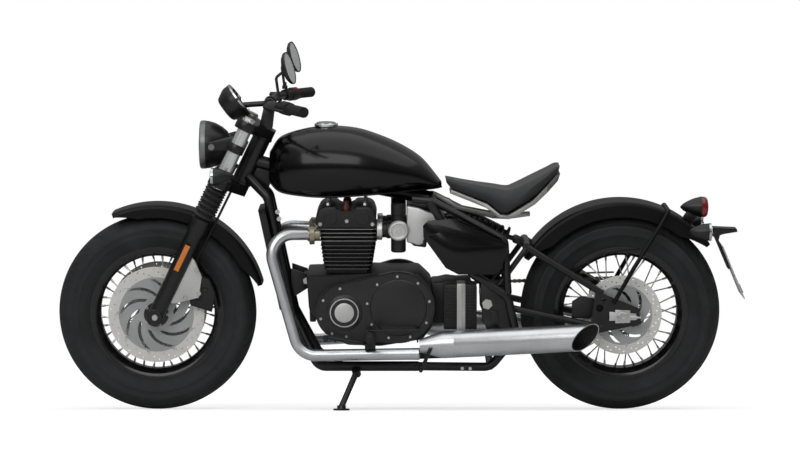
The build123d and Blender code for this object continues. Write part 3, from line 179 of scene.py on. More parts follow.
def skin(bm, rings, closed=False, capped=True):
    """Adds the faces between rings of corners, and over the first and last; a ring may be one point."""
    corners = [[bm.verts.new(p) for p in ring] for ring in rings]
    pairs = list(zip(corners, corners[1:])) + ([(corners[-1], corners[0])] if closed else [])
    for a, b in pairs:
        count = max(len(a), len(b))
        for i in range(count):
            j = (i + 1) % count
            loop = list(dict.fromkeys((a[i % len(a)], a[j % len(a)], b[j % len(b)], b[i % len(b)])))
            if len(loop) > 2:
                bm.faces.new(loop)
    if capped and not closed:
        for ring in (corners[0], corners[-1]):
            if len(ring) > 2:
                bm.faces.new(ring)
    return corners


def turned(bm, base, way, profile, steps=64, closed=False):
    """Adds a turned shape: its radius at places along an axis."""
    way = Vector(way).normalized()
    side = way.orthogonal().normalized()
    up = way.cross(side)
    base = Vector(base)
    rings = []
    for along, r in profile:
        middle = base + way * along
        if r < 0.01:
            rings.append([middle])
        else:
            rings.append([middle + (side * cos(2 * pi * i / steps) + up * sin(2 * pi * i / steps)) * r
                          for i in range(steps)])
    skin(bm, rings, closed)


def fit(name, bm, finish, body, nodes=(), smooth=32):
    """Takes a finished shape to its parked place, as a piece that rides on a body and stands for its nodes."""
    bmesh.ops.remove_doubles(bm, verts=bm.verts, dist=0.001)
    bmesh.ops.recalc_face_normals(bm, faces=bm.faces)
    mesh = bpy.data.meshes.new(name)
    bm.to_mesh(mesh)
    bm.free()
    mesh.transform(park)
    mesh.shade_smooth()
    mesh.set_sharp_from_angle(angle=radians(smooth))
    mesh.materials.clear()
    mesh.materials.append(finish)
    piece = bpy.data.objects.new(name, mesh)
    bpy.context.scene.collection.objects.link(piece)
    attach(piece, body)
    if nodes:
        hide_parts(*nodes)
    return piece


def around(centre, r, a, y=0.0):
    """A point at a distance and an angle round a centre on the middle plane, moved across the machine."""
    return Vector((centre[0] + r * cos(a), y, centre[2] + r * sin(a)))


def both_halves(right):
    """A profile across the machine, from its right half, whose first point lies on the middle plane."""
    return [(-y, r) for y, r in reversed(right[1:])] + right


ACROSS = Vector((0, 1, 0))
BACK = Vector((1, 0, 0))
UP = Vector((0, 0, 1))
SIDES = (1, -1)
CROWN_R = 76.0
CROWN_ENDS = 58
BEAD_R = 203.0
TREAD_STEPS = 384
TREAD_DEEP = 4.0
GROOVE_APART = 12
tyre_rubber = surface("moulded tyre rubber", "212224", "2e2f31", 2.2, (0.62, 0.86), 0.12)
for name, body, axle, tyre_r, half, rim_half in (
    ("front_tyre_moulded", "front_wheel", FRONT_AXLE, 320.0, 65.0, 50.0),
    ("rear_tyre_moulded", "rear_wheel", REAR_AXLE, 323.0, 75.0, 58.0),
):
    crown = [(CROWN_R * sin(radians(a)), tyre_r - CROWN_R + CROWN_R * cos(radians(a)))
             for a in range(0, CROWN_ENDS, 4)]
    wall_r = crown[-1][1]
    wall = [(half - 1.5, wall_r - 5), (half - 0.6, wall_r - 7), (half - 0.4, wall_r - 14), (half - 1.5, wall_r - 16),
            (half - 1.2, wall_r - 30), (half - 0.2, wall_r - 31), (half - 0.4, wall_r - 34), (half - 2, wall_r - 35),
            (rim_half + 8, wall_r - 52), (rim_half + 1, wall_r - 62), (rim_half - 5, BEAD_R + 4),
            (rim_half - 8, BEAD_R + 1)]
    rings = []
    for k, (y, r) in enumerate(both_halves(crown + wall)):
        from_middle = abs(k - len(crown + wall) + 1)
        ring = []
        for i in range(TREAD_STEPS):
            groove = 3 <= from_middle <= 10 and (i + from_middle) % GROOVE_APART == 0
            line = from_middle == 1 and i % 2 == 0
            ring.append(around(axle, r - (TREAD_DEEP if groove or line else 0), 2 * pi * i / TREAD_STEPS, y))
        rings.append(ring)
    bm = bmesh.new()
    skin(bm, rings, closed=True)
    fit(name, bm, tyre_rubber, body, [name.replace("_moulded", "")], 40)


# Wire wheels: a black rolled rim on crossed steel spokes, each with its nipple, round a black cast hub.
# The spokes are bright stainless steel, the rim is semi-gloss paint
def repeated(bm, unit, places, finish):
    """Adds a copy of a unit at each place, a matrix without scale, by Geometry Nodes."""
    tree = bpy.data.node_groups.get("fasteners") or bpy.data.node_groups.new("fasteners", "GeometryNodeTree")
    if not tree.nodes:
        for title, way, kind in (("Places", "INPUT", "Geometry"), ("Unit", "INPUT", "Object"),
                                 ("Size", "INPUT", "Float"), ("Finish", "INPUT", "Material"),
                                 ("Copies", "OUTPUT", "Geometry")):
            tree.interface.new_socket(title, in_out=way, socket_type="NodeSocket" + kind)
        given = add(tree, "NodeGroupInput")
        shape = add(tree, "GeometryNodeObjectInfo", {"Object": given.outputs["Unit"]})
        facing = add(tree, "GeometryNodeInputNamedAttribute", {"Name": "facing"}, data_type="FLOAT_VECTOR")
        angle = add(tree, "FunctionNodeEulerToRotation", {0: facing.outputs[0]})
        size = add(tree, "ShaderNodeCombineXYZ", {axis: given.outputs["Size"] for axis in "XYZ"})
        copies = add(tree, "GeometryNodeInstanceOnPoints",
                     {"Points": given.outputs["Places"], "Instance": shape.outputs["Geometry"],
                      "Rotation": angle.outputs[0], "Scale": size.outputs[0]})
        solid = add(tree, "GeometryNodeRealizeInstances", {0: copies.outputs[0]})
        painted = add(tree, "GeometryNodeSetMaterial", {"Geometry": solid.outputs[0],
                                                        "Material": given.outputs["Finish"]})
        add(tree, "NodeGroupOutput", {0: painted.outputs[0]})
    holders = []
    for title in ("unit", "places"):
        holders.append(bpy.data.objects.new(title, bpy.data.meshes.new(title)))
        bpy.context.scene.collection.objects.link(holders[-1])
    unit_holder, spots = holders
    unit.to_mesh(unit_holder.data)
    unit.free()
    spots.data.from_pydata([place.to_translation() for place in places], [], [])
    facing = spots.data.attributes.new("facing", "FLOAT_VECTOR", "POINT")
    for row, place in zip(facing.data, places):
        row.vector = place.to_euler()
    modifier = spots.modifiers.new("fasteners", "NODES")
    modifier.node_group = tree
    values = {"Unit": unit_holder, "Size": 1.0, "Finish": finish}
    for socket in tree.interface.items_tree:
        if socket.in_out == "INPUT" and socket.name in values:
            modifier[socket.identifier] = values[socket.name]
    bpy.context.view_layer.update()
    done = spots.evaluated_get(bpy.context.evaluated_depsgraph_get())
    mesh = bpy.data.meshes.new_from_object(done)
    bm.from_mesh(mesh)
    bpy.data.meshes.remove(mesh)
    for holder in holders:
        bpy.data.meshes.remove(holder.data)


def facing(spot, way, turn=0.0):
    """The place of a unit drawn along z: at a spot, with its z along a way."""
    return Matrix.Translation(Vector(spot)) @ Vector(way).to_track_quat("Z", "Y").to_matrix().to_4x4() \
        @ Matrix.Rotation(turn, 4, "Z")


rim_black = surface("semi-gloss black rim paint", "0d0d0e", "131314", 1.6, (0.22, 0.34), 0.03, Coat_Weight=0.3)
spoke_steel = surface("drawn stainless steel", "c9c9c6", "b7b6b2", 1.0, (0.2, 0.36), 0.02, Metallic=1.0)
SPOKES = 36
for name, body, axle, rim_half, hub_half, flange_y, flange_r, bore in (
    ("front", "front_wheel", FRONT_AXLE, 50.0, 65.5, 38.0, 48.0, 10.8),
    ("rear", "rear_wheel", REAR_AXLE, 58.0, 95.0, 46.0, 58.0, 13.3),
):
    bm = bmesh.new()
    well = [(rim_half - 33, 190), (rim_half - 20, 201), (rim_half - 6, 203), (rim_half - 2, 216.5),
            (rim_half, 216.5), (rim_half, 209), (rim_half - 5, 198), (rim_half - 20, 193), (rim_half - 33, 184.5)]
    turned(bm, axle, ACROSS, well + [(-y, r) for y, r in reversed(well)], 120, closed=True)
    end = [(0, 31), (flange_y - 13, 31), (flange_y - 7, 36), (flange_y - 5, flange_r), (flange_y + 4, flange_r),
           (flange_y + 8, 38), (hub_half - 10, 36), (hub_half - 8, 41.5), (hub_half, 41.5), (hub_half, bore)]
    turned(bm, axle, ACROSS, [(-y, r) for y, r in reversed(end)] + end[1:], 64, closed=True)
    for side in SIDES:
        turned(bm, axle, (0, side, 0), [(hub_half - 1, bore), (hub_half - 1, 40), (hub_half + 5.6, 40),
                                        (hub_half + 7.6, 37), (hub_half + 7.6, 22), (hub_half + 5, 20),
                                        (hub_half + 5, bore)], 48, closed=True)
    fit(f"{name}_rim_and_hub", bm, rim_black, body, [f"{name}_wire_wheel"])

    places = []
    lengths = []
    for i in range(SPOKES):
        side = 1 if i % 2 else -1
        swing = 44 if (i // 2) % 2 else -44
        at_rim = radians(360 / SPOKES * (i + 0.5))
        at_hub = at_rim + radians(swing)
        root = around(axle, flange_r - 6, at_hub, side * flange_y + swing / 14)
        tip = around(axle, 185, at_rim, side * 8)
        places.append(facing(root, tip - root))
        lengths.append((tip - root).length)
    unit = bmesh.new()
    long = sum(lengths) / len(lengths)
    turned(unit, (0, 0, 0), (0, 0, 1), [(-7, 2.1), (long - 15, 2.1), (long - 14, 3.4), (long, 3.6)], 10)
    bm = bmesh.new()
    repeated(bm, unit, places, spoke_steel)
    fit(f"{name}_spokes", bm, spoke_steel, body)


# Brake discs and sprocket: pale ground steel rings with small drilled holes, riveted to silver carriers
# with curved slots, over a black hub cap. Grinding leaves the steel bright but without sharp reflections
def pierced(bm, loops, middle, thick):
    """Adds a flat plate across the machine: loops of side-view points, the first its outline, the rest holes."""
    line = bpy.data.curves.new("plate", "CURVE")
    line.dimensions, line.fill_mode, line.extrude = "2D", "BOTH", thick / 2
    for loop in loops:
        spline = line.splines.new("POLY")
        spline.points.add(len(loop) - 1)
        for corner, (x, z) in zip(spline.points, loop):
            corner.co = (x, z, 0, 1)
        spline.use_cyclic_u = True
    holder = bpy.data.objects.new("plate", line)
    bpy.context.scene.collection.objects.link(holder)
    mesh = bpy.data.meshes.new_from_object(holder)
    mesh.transform(Matrix(((1, 0, 0, 0), (0, 0, -1, middle), (0, 1, 0, 0), (0, 0, 0, 1))))
    bm.from_mesh(mesh)
    bpy.data.meshes.remove(mesh)
    bpy.data.curves.remove(line)


def ring_of(x, z, r, steps=24, start=0.0):
    """Side-view points round a circle."""
    return [(x + r * cos(start + 2 * pi * i / steps), z + r * sin(start + 2 * pi * i / steps)) for i in range(steps)]


def screw(r, high, sides=6, hollow=0.5):
    """A bolt's or a socket screw's head, drawn along z from its seat, with a sunk socket in its end."""
    head = bmesh.new()
    turned(head, (0, 0, 0), (0, 0, 1), [(-0.5, r), (high * 0.8, r), (high, r * 0.86), (high, r * hollow),
                                        (high * 0.5, r * hollow), (high * 0.5, 0)], sides)
    return head


disc_steel = surface("ground brake disc steel", "f6f5f1", "edece7", 0.9, (0.5, 0.64), 0.03, Metallic=0.1)
carrier_grey = surface("silver anodised disc carrier", "bfc0c1", "b0b1b2", 1.2, (0.4, 0.54), 0.04, Metallic=0.3)
bright_zinc = surface("zinc-plated fastener steel", "dededb", "cacac6", 0.8, (0.26, 0.42), 0.02, Metallic=0.85)
HOLES = 18
HOLE_R = 2.3
for name, body, axle, disc_r, width, centre_r, arms, places, nodes in (
    ("front", "front_wheel", FRONT_AXLE, 155.0, 34.0, 66.0, 9, (68.0, -68.0), ["front_discs"]),
    ("rear", "rear_wheel", REAR_AXLE, 127.5, 30.0, 60.0, 7, (-97.5,), ["rear_disc"]),
):
    ring = bmesh.new()
    carrier = bmesh.new()
    bolts = []
    for y in places:
        holes = []
        for k, r in enumerate((disc_r - width + 9, disc_r - width / 2, disc_r - 8)):
            for i in range(HOLES):
                hole = around(axle, r, 2 * pi * (i + k / 3) / HOLES)
                holes.append(ring_of(hole.x, hole.z, HOLE_R, 10))
        rims = [ring_of(axle.x, axle.z, r, steps) for r, steps in ((disc_r, 120), (disc_r - width, 96))]
        pierced(ring, rims + holes, y, 5)
        slots = []
        out_r, in_r = disc_r - width - 6, centre_r - 10
        for i in range(arms):
            near, far_side = [], []
            for k in range(9):
                r = in_r + (out_r - in_r) * k / 8
                a = 2 * pi * i / arms + 0.9 * k / 8
                for edge, turn in ((near, 0), (far_side, (0.34 - 0.12 * k / 8) * 6 / arms)):
                    spot = around(axle, r, a + turn)
                    edge.append((spot.x, spot.z))
            slots.append(near + far_side[::-1])
        rims = [ring_of(axle.x, axle.z, r, steps) for r, steps in ((disc_r - width + 5, 96), (31, 40))]
        pierced(carrier, rims + slots, y, 4.4)
        side = 1 if y > 0 else -1
        for count, start, r, proud in ((arms, 0.42, disc_r - width + 1, 2.3), (5, 0, 37, 2)):
            for i in range(count):
                spot = around(axle, r, 2 * pi * (i + start) / count, y + side * proud)
                bolts.append(facing(spot, (0, side, 0)))
    fit(f"{name}_brake_ring", ring, disc_steel, body, nodes)
    fit(f"{name}_disc_carrier", carrier, carrier_grey, body)
    bm = bmesh.new()
    repeated(bm, screw(5.0, 3.2, 16, 0.5), bolts, bright_zinc)
    fit(f"{name}_disc_screws", bm, bright_zinc, body)

TEETH, FRONT_TEETH = 37, 17
PITCH = 15.875
CHAIN_Y = 98
sprocket_steel = surface("oiled sprocket steel", "6d6b66", "4f4d49", 1.4, (0.34, 0.5), 0.05, Metallic=1.0)
pitch_r = PITCH / (2 * sin(pi / TEETH))
teeth = []
for i in range(TEETH):
    for share, out in ((-0.16, -9.5), (0.16, -9.5), (0.42, -4.8), (0.58, -4.8)):
        spot = around(REAR_AXLE, pitch_r + out, 2 * pi * (i + share) / TEETH)
        teeth.append((spot.x, spot.z))
bm = bmesh.new()
lightening = [around(REAR_AXLE, 58, 2 * pi * i / 5) for i in range(5)]
pierced(bm, [teeth, ring_of(REAR_AXLE.x, REAR_AXLE.z, 31, 40)] + [ring_of(p.x, p.z, 13) for p in lightening],
        CHAIN_Y, 6)
fit("sprocket_cut", bm, sprocket_steel, "rear_wheel", ["rear_sprocket"])


# Front fork: bright stanchions under pleated rubber gaiters, black powder-coated sliders with their
# caliper lugs, and two forged yokes. Powder coat is an even satin black with a faint orange peel
def bent(points, bend, chords=8):
    """The points along a route, with each corner rounded to a radius."""
    stops = [Vector(p) for p in points]
    if not bend:
        return stops
    route = [stops[0]]
    for before, corner, after in zip(stops, stops[1:], stops[2:]):
        back, on = (before - corner).normalized(), (after - corner).normalized()
        half = back.angle(on) / 2
        centre = corner + (back + on).normalized() * (bend / sin(half))
        first = corner + back * (bend / tan(half)) - centre
        last = corner + on * (bend / tan(half)) - centre
        axis = first.cross(last)
        for i in range(chords + 1):
            route.append(centre + Matrix.Rotation(first.angle(last) * i / chords, 3, axis) @ first)
    return route + [stops[-1]]


def pipe(bm, points, radius, bend=0, sides=20, chords=8):
    """Adds a round bar along a route; the radius may be a list, one for each point of a route without bends."""
    route = bent(points, bend, chords)
    radii = radius if isinstance(radius, (list, tuple)) else [radius] * len(route)
    side = (route[1] - route[0]).orthogonal()
    rings = []
    for i, spot in enumerate(route):
        before, after = route[max(i - 1, 0)], route[min(i + 1, len(route) - 1)]
        way = (after - before).normalized()
        side = (side - way * side.dot(way)).normalized()
        up = way.cross(side)
        rings.append([spot + (side * cos(2 * pi * k / sides) + up * sin(2 * pi * k / sides)) * radii[i]
                      for k in range(sides)])
    skin(bm, rings)


def slab(bm, outline, left, right, round_mm=0.0, steps=2, level=False):
    """Adds a plate with rounded edges: a side-view outline filled between two distances across the machine.
    If level, the outline is seen from above and filled between two heights."""
    near, far = ([bm.verts.new((u, v, at) if level else (u, at, v)) for u, v in outline] for at in (left, right))
    faces = [bm.faces.new(near), bm.faces.new(far)]
    for i in range(len(outline)):
        j = (i + 1) % len(outline)
        faces.append(bm.faces.new((near[i], near[j], far[j], far[i])))
    if round_mm:
        bmesh.ops.bevel(bm, geom=list({edge for face in faces for edge in face.edges}), offset=round_mm,
                        segments=steps, profile=0.5, affect="EDGES", clamp_overlap=True)


def between(side, near, far):
    """The two distances across the machine of a plate on one side, the lower first."""
    return sorted((side * near, side * far))


def from_node(node, round_mm=1.0, sharp=30):
    """A copy of a CAD node, upright again, with its flat faces joined up and its sharp edges rounded."""
    bm = bmesh.new()
    bm.from_mesh(frame["nodes"][node].data)
    bm.transform(park.inverted())
    bmesh.ops.remove_doubles(bm, verts=bm.verts, dist=0.01)
    bmesh.ops.dissolve_limit(bm, angle_limit=radians(1.5), verts=bm.verts, edges=bm.edges)
    if round_mm:
        edges = [e for e in bm.edges if e.is_manifold and e.calc_face_angle(0) > radians(sharp)]
        bmesh.ops.bevel(bm, geom=edges, offset=round_mm, segments=2, profile=0.5, affect="EDGES", clamp_overlap=True)
    return bm


RAKE = 25.8
UP_FORK = Vector((sin(radians(RAKE)), 0, cos(radians(RAKE))))
BACK_FORK = Vector((cos(radians(RAKE)), 0, -sin(radians(RAKE))))
LEGS = [FRONT_AXLE + ACROSS * 108 * side for side in SIDES]
black_coat = surface("satin black powder coat", "0f0f10", "161617", 1.4, (0.3, 0.42), 0.04, Coat_Weight=0.1)
hard_chrome = surface("hard chrome", "d9dadb", "cfd0d0", 3.0, (0.05, 0.1), 0.004, Metallic=1.0)
gaiter_rubber = surface("pleated gaiter rubber", "1f1f20", "2a2a2b", 1.8, (0.5, 0.68), 0.08)
cast_black = surface("black-painted alloy casting", "151516", "1d1d1e", 1.3, (0.4, 0.58), 0.1)

bm = bmesh.new()
for leg in LEGS:
    turned(bm, leg, UP_FORK, [(190, 22.5), (701, 22.5), (702, 20)], 40)
leg_chrome = surface("ground stanchion chrome", "f0f1f2", "e8e9ea", 1.2, (0.2, 0.3), 0.01, Metallic=0.7)
fit("stanchions_chromed", bm, leg_chrome, "steering", ["fork_stanchions"])

bm = bmesh.new()
for leg in LEGS:
    turned(bm, leg, UP_FORK, [(-26, 15), (-25, 22), (-12, 26), (40, 26), (298, 27), (306, 32), (348, 33), (350, 31),
                              (350, 23), (344, 23), (344, 0)], 40)
    turned(bm, leg - ACROSS * 27, ACROSS, [(0, 0), (0, 22), (4, 25), (50, 25), (54, 22), (54, 0)], 32)
fit("sliders_coated", bm, black_coat, "steering", ["fork_sliders"])
satin_alloy = surface("satin cast alloy", "e9e9e8", "dadad9", 1.0, (0.34, 0.5), 0.04, Metallic=0.75)
bm = bmesh.new()
lug = [(24, 50), (60, 40), (140, 60), (150, 128), (128, 180), (101, 210)]
for left in (98, -108):
    slab(bm, [(FRONT_AXLE.x + x, FRONT_AXLE.z + z) for x, z in lug], left, left + 10, 2.5)
fit("caliper_lugs", bm, satin_alloy, "steering")

bm = bmesh.new()
for leg in LEGS:
    pleats = [(350.4, 33)]
    for i in range(6):
        low = 351 + i * 18
        pleats += [(low + 0.5, 25.4), (low + 7.5, 35), (low + 9, 35.8), (low + 10.5, 35), (low + 17.5, 25.4)]
    turned(bm, leg, UP_FORK, pleats + [(459.8, 29.5), (459.8, 23.2), (350.4, 23.2)], 40, closed=True)
fit("gaiters_pleated", bm, gaiter_rubber, "steering", ["fork_gaiters"])

fit("yokes_forged", from_node("fork_yokes", 2.5), black_coat, "steering", ["fork_yokes"])
bm = bmesh.new()
for leg in LEGS:
    turned(bm, leg, UP_FORK, [(696.5, 20), (708, 20), (709, 18), (709, 8), (706, 8), (706, 0)], 6)
    turned(bm, leg - ACROSS * 38, ACROSS, [(2, 0), (2, 9), (6, 10), (70, 10), (74, 9), (74, 0)], 24)
fit("fork_caps", bm, bright_zinc, "steering")

bm = bmesh.new()
turned(bm, FRONT_AXLE, ACROSS, [(-138, 6.9), (-138, 10), (-82, 10), (-81.6, 16), (-66, 16), (-66, 10), (66, 10),
                                (66, 16), (81.6, 16), (82, 10), (138, 10), (138, 6.9)], 32, closed=True)
fit("front_spindle", bm, bright_zinc, "steering", ["front_axle"])

bm = from_node("front_calipers", 4.0)
pistons = []
for side in SIDES:
    for x, z in ((140, 50), (158, 88), (132, 106)):
        pistons.append(facing((FRONT_AXLE.x + x, side * 97.4, FRONT_AXLE.z + z), (0, side, 0)))
repeated(bm, screw(9, 3, 24, 0.6), pistons, cast_black)
fit("calipers_cast", bm, cast_black, "steering", ["front_calipers"])
bm = bmesh.new()
spots = [facing((FRONT_AXLE.x + x, side * 108.2, FRONT_AXLE.z + z), (0, side, 0))
         for side in SIDES for x, z in ((96, 60), (108, 176), (140, 74), (134, 150))]
repeated(bm, screw(8, 5, 6, 0.45), spots, bright_zinc)
fit("caliper_bolts", bm, bright_zinc, "steering")

# Brake hoses: black rubber hose with bright crimped ends, one a side, from the lower yoke down to its
# caliper. They turn with the fork, so their shape stays the same
hose_rubber = surface("black hose rubber", "121213", "1a1a1b", 1.5, (0.45, 0.6), 0.05)
bm = bmesh.new()
ends = bmesh.new()
for side in SIDES:
    top = FRONT_AXLE + BACK_FORK * 45 + UP_FORK * 463.6
    way = [(top.x, side * 77, top.z), (-594, side * 77, 616), (-652, side * 77, 505), (-662, side * 77, 463)]
    pipe(bm, way, 4, 60, 12)
    pipe(ends, [way[-1], (-664, side * 77, 442)], 5.5, 0, 12)
fit("brake_hoses_rubber", bm, hose_rubber, "steering", ["brake_hoses"])
fit("brake_hose_ends", ends, bright_zinc, "steering")


# Mudguards: pressed steel, rolled at the edge and tapered at both ends, in satin black enamel, so that the
# crown takes the light as one long soft line
def channel(bm, axle, outer_r, half, depth, first, last, wall=3.0, steps=72):
    """Adds a mudguard: a round-shouldered channel bent round an axle between two angles."""
    outer = []
    shoulder = 16.0
    for i in range(9):
        a = radians(90 * i / 8)
        outer.append((half - shoulder + shoulder * sin(a), outer_r - shoulder + shoulder * cos(a)))
    crown = [(y, outer_r - 2.0 * (y / half) ** 2) for y in (0, half * 0.35, half * 0.6)]
    edge = [(half - 0.4, outer_r - depth + 5), (half, outer_r - depth + 3), (half - 0.5, outer_r - depth)]
    right = crown + [(y, r - 2.0 * ((half - shoulder) / half) ** 2 * (1 if i < 2 else 0)) for i, (y, r) in
                     enumerate(outer)] + edge
    inner = [(max(y - wall, 0), r - wall if i < len(crown) + 6 else r) for i, (y, r) in enumerate(right)]
    loop = right + list(reversed(inner))[:-1] + [(0, outer_r - wall)] + [(-y, r) for y, r in inner[1:]] \
        + [(-y, r) for y, r in reversed(right)][:-1]
    rings = []
    for i in range(steps + 1):
        share = min(1.0, 0.32 + 5.0 * min(i, steps - i) / steps)
        a = radians(first + (last - first) * i / steps)
        rings.append([around(axle, outer_r - (outer_r - r) * (share if outer_r - r > 20 else 1), a, y)
                      for y, r in loop])
    skin(bm, rings)


guard_black = surface("satin black enamel", "0b0b0c", "101011", 2.5, (0.34, 0.42), 0.01,
                      Specular_IOR_Level=0.2)
gloss_black = surface("gloss black enamel", "040405", "060607", 6.0, (0.2, 0.26), 0.004, Coat_Weight=0.35,
                      Coat_Roughness=0.1, Specular_IOR_Level=0.25)
bm = bmesh.new()
channel(bm, FRONT_AXLE, 356, 68, 43, 113.6, 15.6)
for side in SIDES:
    turned(bm, FRONT_AXLE + UP_FORK * 328 + ACROSS * side * 66, (0, side, 0), [(0, 8), (8.6, 8)], 20)
fit("front_mudguard_pressed", bm, guard_black, "steering", ["front_mudguard"], 40)

HOOP = [(684, 141.3, 366), (748, 141.3, 480), (826, 112, 600)]
hoop_top = around(REAR_AXLE, 367, radians(66.3))
bm = bmesh.new()
channel(bm, REAR_AXLE, 364, 85, 50, 150, 38.6)
half_hoop = HOOP + [(hoop_top.x, 100, hoop_top.z)]
pipe(bm, half_hoop + [(x, -y, z) for x, y, z in reversed(half_hoop)], 7, 22)
fit("rear_mudguard_pressed", bm, guard_black, "chassis", ["rear_mudguard"], 40)

# Frame: welded steel tube, powder-coated black: head tube, backbone, twin down tubes, cradle, rear loops
# and seat rails, with pressed plates at the pivot and a bright bolt through each fixing
RAIL_Z = 158
bm = bmesh.new()
for side in SIDES:
    pipe(bm, [(-490, side * 20, 762), (-425, side * 54, 700), (-345, side * 70, 322), (-262, side * 110, RAIL_Z),
              (60, side * 110, RAIL_Z)], 16, 40, 24)
    pipe(bm, [(40, side * 110, RAIL_Z), (290, side * 148, 162), (372, side * 148, 262), (345, side * 148, 390),
              (230, side * 138, 462), (95, side * 100, 690)], 14, 46, 24)
    pipe(bm, [(40, side * 88, 697), (110, side * 98, 690), (335, side * 134, 572), (346, side * 148, 400)], 12, 30, 20)
    slab(bm, [(258, 430), (262, 320), (283, 270), (330, 195), (372, 262), (346, 388), (300, 424)],
         *between(side, 144, 152), 2)
    slab(bm, [(-350, 372), (-300, 404), (-300, 452), (-352, 470)], *between(side, 62, 70), 2)
for x, z, r, reach in ((104, 690, 14, 98), (133, 628, 12, 108), (-200, RAIL_Z, 14, 110), (290, 162, 12, 138),
                       (-300, 790.5, 9, 29.7), (-20, 733.2, 9, 29.7)):
    pipe(bm, [(x, -reach, z), (x, reach, z)], r, 0, 20)
pipe(bm, [(-470, 0, 812), (-280, 0, 762), (104, 0, 690)], 22, 400, 28, 12)
slab(bm, [(-486, 800), (-400, 795), (-425, 720), (-505, 752)], -10, 10, 2)
steer_base = FRONT_AXLE + BACK_FORK * 60
turned(bm, steer_base, UP_FORK, [(496.2, 15.5), (496.2, 34), (503, 34), (505, 30), (655, 30), (657, 34), (663.8, 34),
                                 (663.8, 15.5)], 40, closed=True)
pipe(bm, [(66, -110, 160), (66, -244, 162), (97, -247, 238)], 6, 22, 16)
fit("frame_tubes", bm, black_coat, "chassis", ["frame"])
bm = bmesh.new()
for side in SIDES:
    pipe(bm, [(279, side * 118, 366), (279, side * 156, 366)], 10, 0, 24)
    for x, z, y, r in ((279, 366, 152.5, 17), (-302, 430, 70.5, 11), (150, 597, 110, 8)):
        pipe(bm, [(x, side * y, z), (x, side * (y + 5), z)], r, 0, 6)
for spot, r in (((-393, -87, 656), 8), ((-388, -87, 633), 8), ((225, -146, 157), 6), ((200, -142, 157), 6)):
    pipe(bm, [spot, (spot[0], spot[1] - 8, spot[2])], r, 0, 6)
fit("frame_bolts", bm, bright_zinc, "chassis")


# Swingarm: a tube triangle each side with pressed axle plates, its cross tube, and a guard over the
# chain. The plates carry satin alloy chain adjusters round the hollow spindle's nuts
APEX = around(REAR_AXLE, 378.3, radians(144.3))
AXLE_PLATE = [(628, 412), (660, 392), (765, 350), (774, 300), (756, 294), (640, 270), (618, 276), (612, 300)]
bm = bmesh.new()
adjusters = bmesh.new()
for side in SIDES:
    pipe(bm, [(279, side * 121, 366), (650, side * 126, 285)], 11, 0, 24)
    pipe(bm, [(APEX.x, side * 112, APEX.z), (650, side * 126, 396)], 11, 0, 24)
    pipe(bm, [(APEX.x - 2, side * 112, APEX.z - 3), (287, side * 116, 380)], 9, 0, 20)
    slot = [(668, 312), (668, 336), (672, 340), (760, 332), (762, 318), (758, 309), (672, 306)]
    pierced(bm, [AXLE_PLATE, slot, ring_of(640, 350, 12), ring_of(652, 376, 7)], side * 128, 12)
    slab(bm, [(APEX.x, APEX.z + 12), (APEX.x - 34, APEX.z + 26), (APEX.x - 44, APEX.z + 8),
              (APEX.x - 10, APEX.z - 11)], side * 25 - 4, side * 25 + 4, 1.5)
    slab(adjusters, [(671, 308), (671, 338), (756, 333), (760, 311)], side * 128 - 5, side * 128 + 5, 1.5)
    slab(adjusters, [(690, 301), (690, 345), (738, 343), (738, 303)], *between(side, 134, 137), 1)
    pipe(adjusters, [(735, side * 130, 321), (772, side * 130, 319)], 5, 0, 12)
pipe(bm, [(APEX.x, -118, APEX.z), (APEX.x, 118, APEX.z)], 14, 0, 28)
pipe(bm, [(APEX.x - 32, -26, APEX.z + 13), (APEX.x - 32, 26, APEX.z + 13)], 6, 0, 16)
pipe(bm, [(279, -134, 366), (279, 134, 366)], 20, 0, 28)
slab(bm, [(420, 426), (700, 434), (700, 437), (420, 429)], 84, 108, 1)
slab(bm, [(540, 429), (560, 429.6), (560, 446), (540, 458)], 104, 121, 1)
fit("swingarm_tubes", bm, black_coat, "chassis", ["swingarm"])
fit("chain_adjusters", adjusters, satin_alloy, "chassis")

bm = bmesh.new()
turned(bm, REAR_AXLE, ACROSS, [(-146, 8.9), (-146, 12.5), (-122, 12.5), (-121.6, 20), (-110.5, 20), (-110.5, 12.5),
                               (101.5, 12.5), (101.5, 20), (121.6, 20), (122, 12.5), (146, 12.5), (146, 8.9)],
       32, closed=True)
for side in SIDES:
    turned(bm, REAR_AXLE, (0, side, 0), [(137.4, 13), (137.4, 21), (139.5, 21), (139.5, 13)], 40, closed=True)
    turned(bm, REAR_AXLE, (0, side, 0), [(134.4, 13), (134.4, 18), (144, 18), (145.4, 16), (145.4, 13)], 6,
           closed=True)
fit("rear_spindle", bm, bright_zinc, "chassis", ["rear_axle"])
bm = from_node("rear_caliper", 3.0)
fit("rear_caliper_cast", bm, cast_black, "chassis", ["rear_caliper"])

# Rear shock: a gas body with a coil spring of black-coated wire between two collars. Its eyes are bolted
# to the swingarm's lugs behind and to the frame in front
SHOCK_REAR = Vector((APEX.x - 32, 0, APEX.z + 13))
SHOCK_FRONT = Vector((160, 0, 622))
shock_way = (SHOCK_FRONT - SHOCK_REAR).normalized()
shock_l = (SHOCK_FRONT - SHOCK_REAR).length
bm = bmesh.new()
turned(bm, SHOCK_REAR, shock_way, [(4, 8), (26, 8), (26, 31), (33, 33), (36, 20), (shock_l - 46, 22),
                                   (shock_l - 44, 33), (shock_l - 28, 33), (shock_l - 24, 14), (shock_l - 6, 14)], 40)
over = shock_way.cross(ACROSS)
COILS, COIL_STEPS = 7, 16
coil = []
for i in range(COILS * COIL_STEPS + 1):
    a = 2 * pi * i / COIL_STEPS
    along = 38 + (shock_l - 90) * i / (COILS * COIL_STEPS)
    coil.append(SHOCK_REAR + shock_way * along + (ACROSS * cos(a) + over * sin(a)) * 27)
pipe(bm, coil, 5, 0, 10)
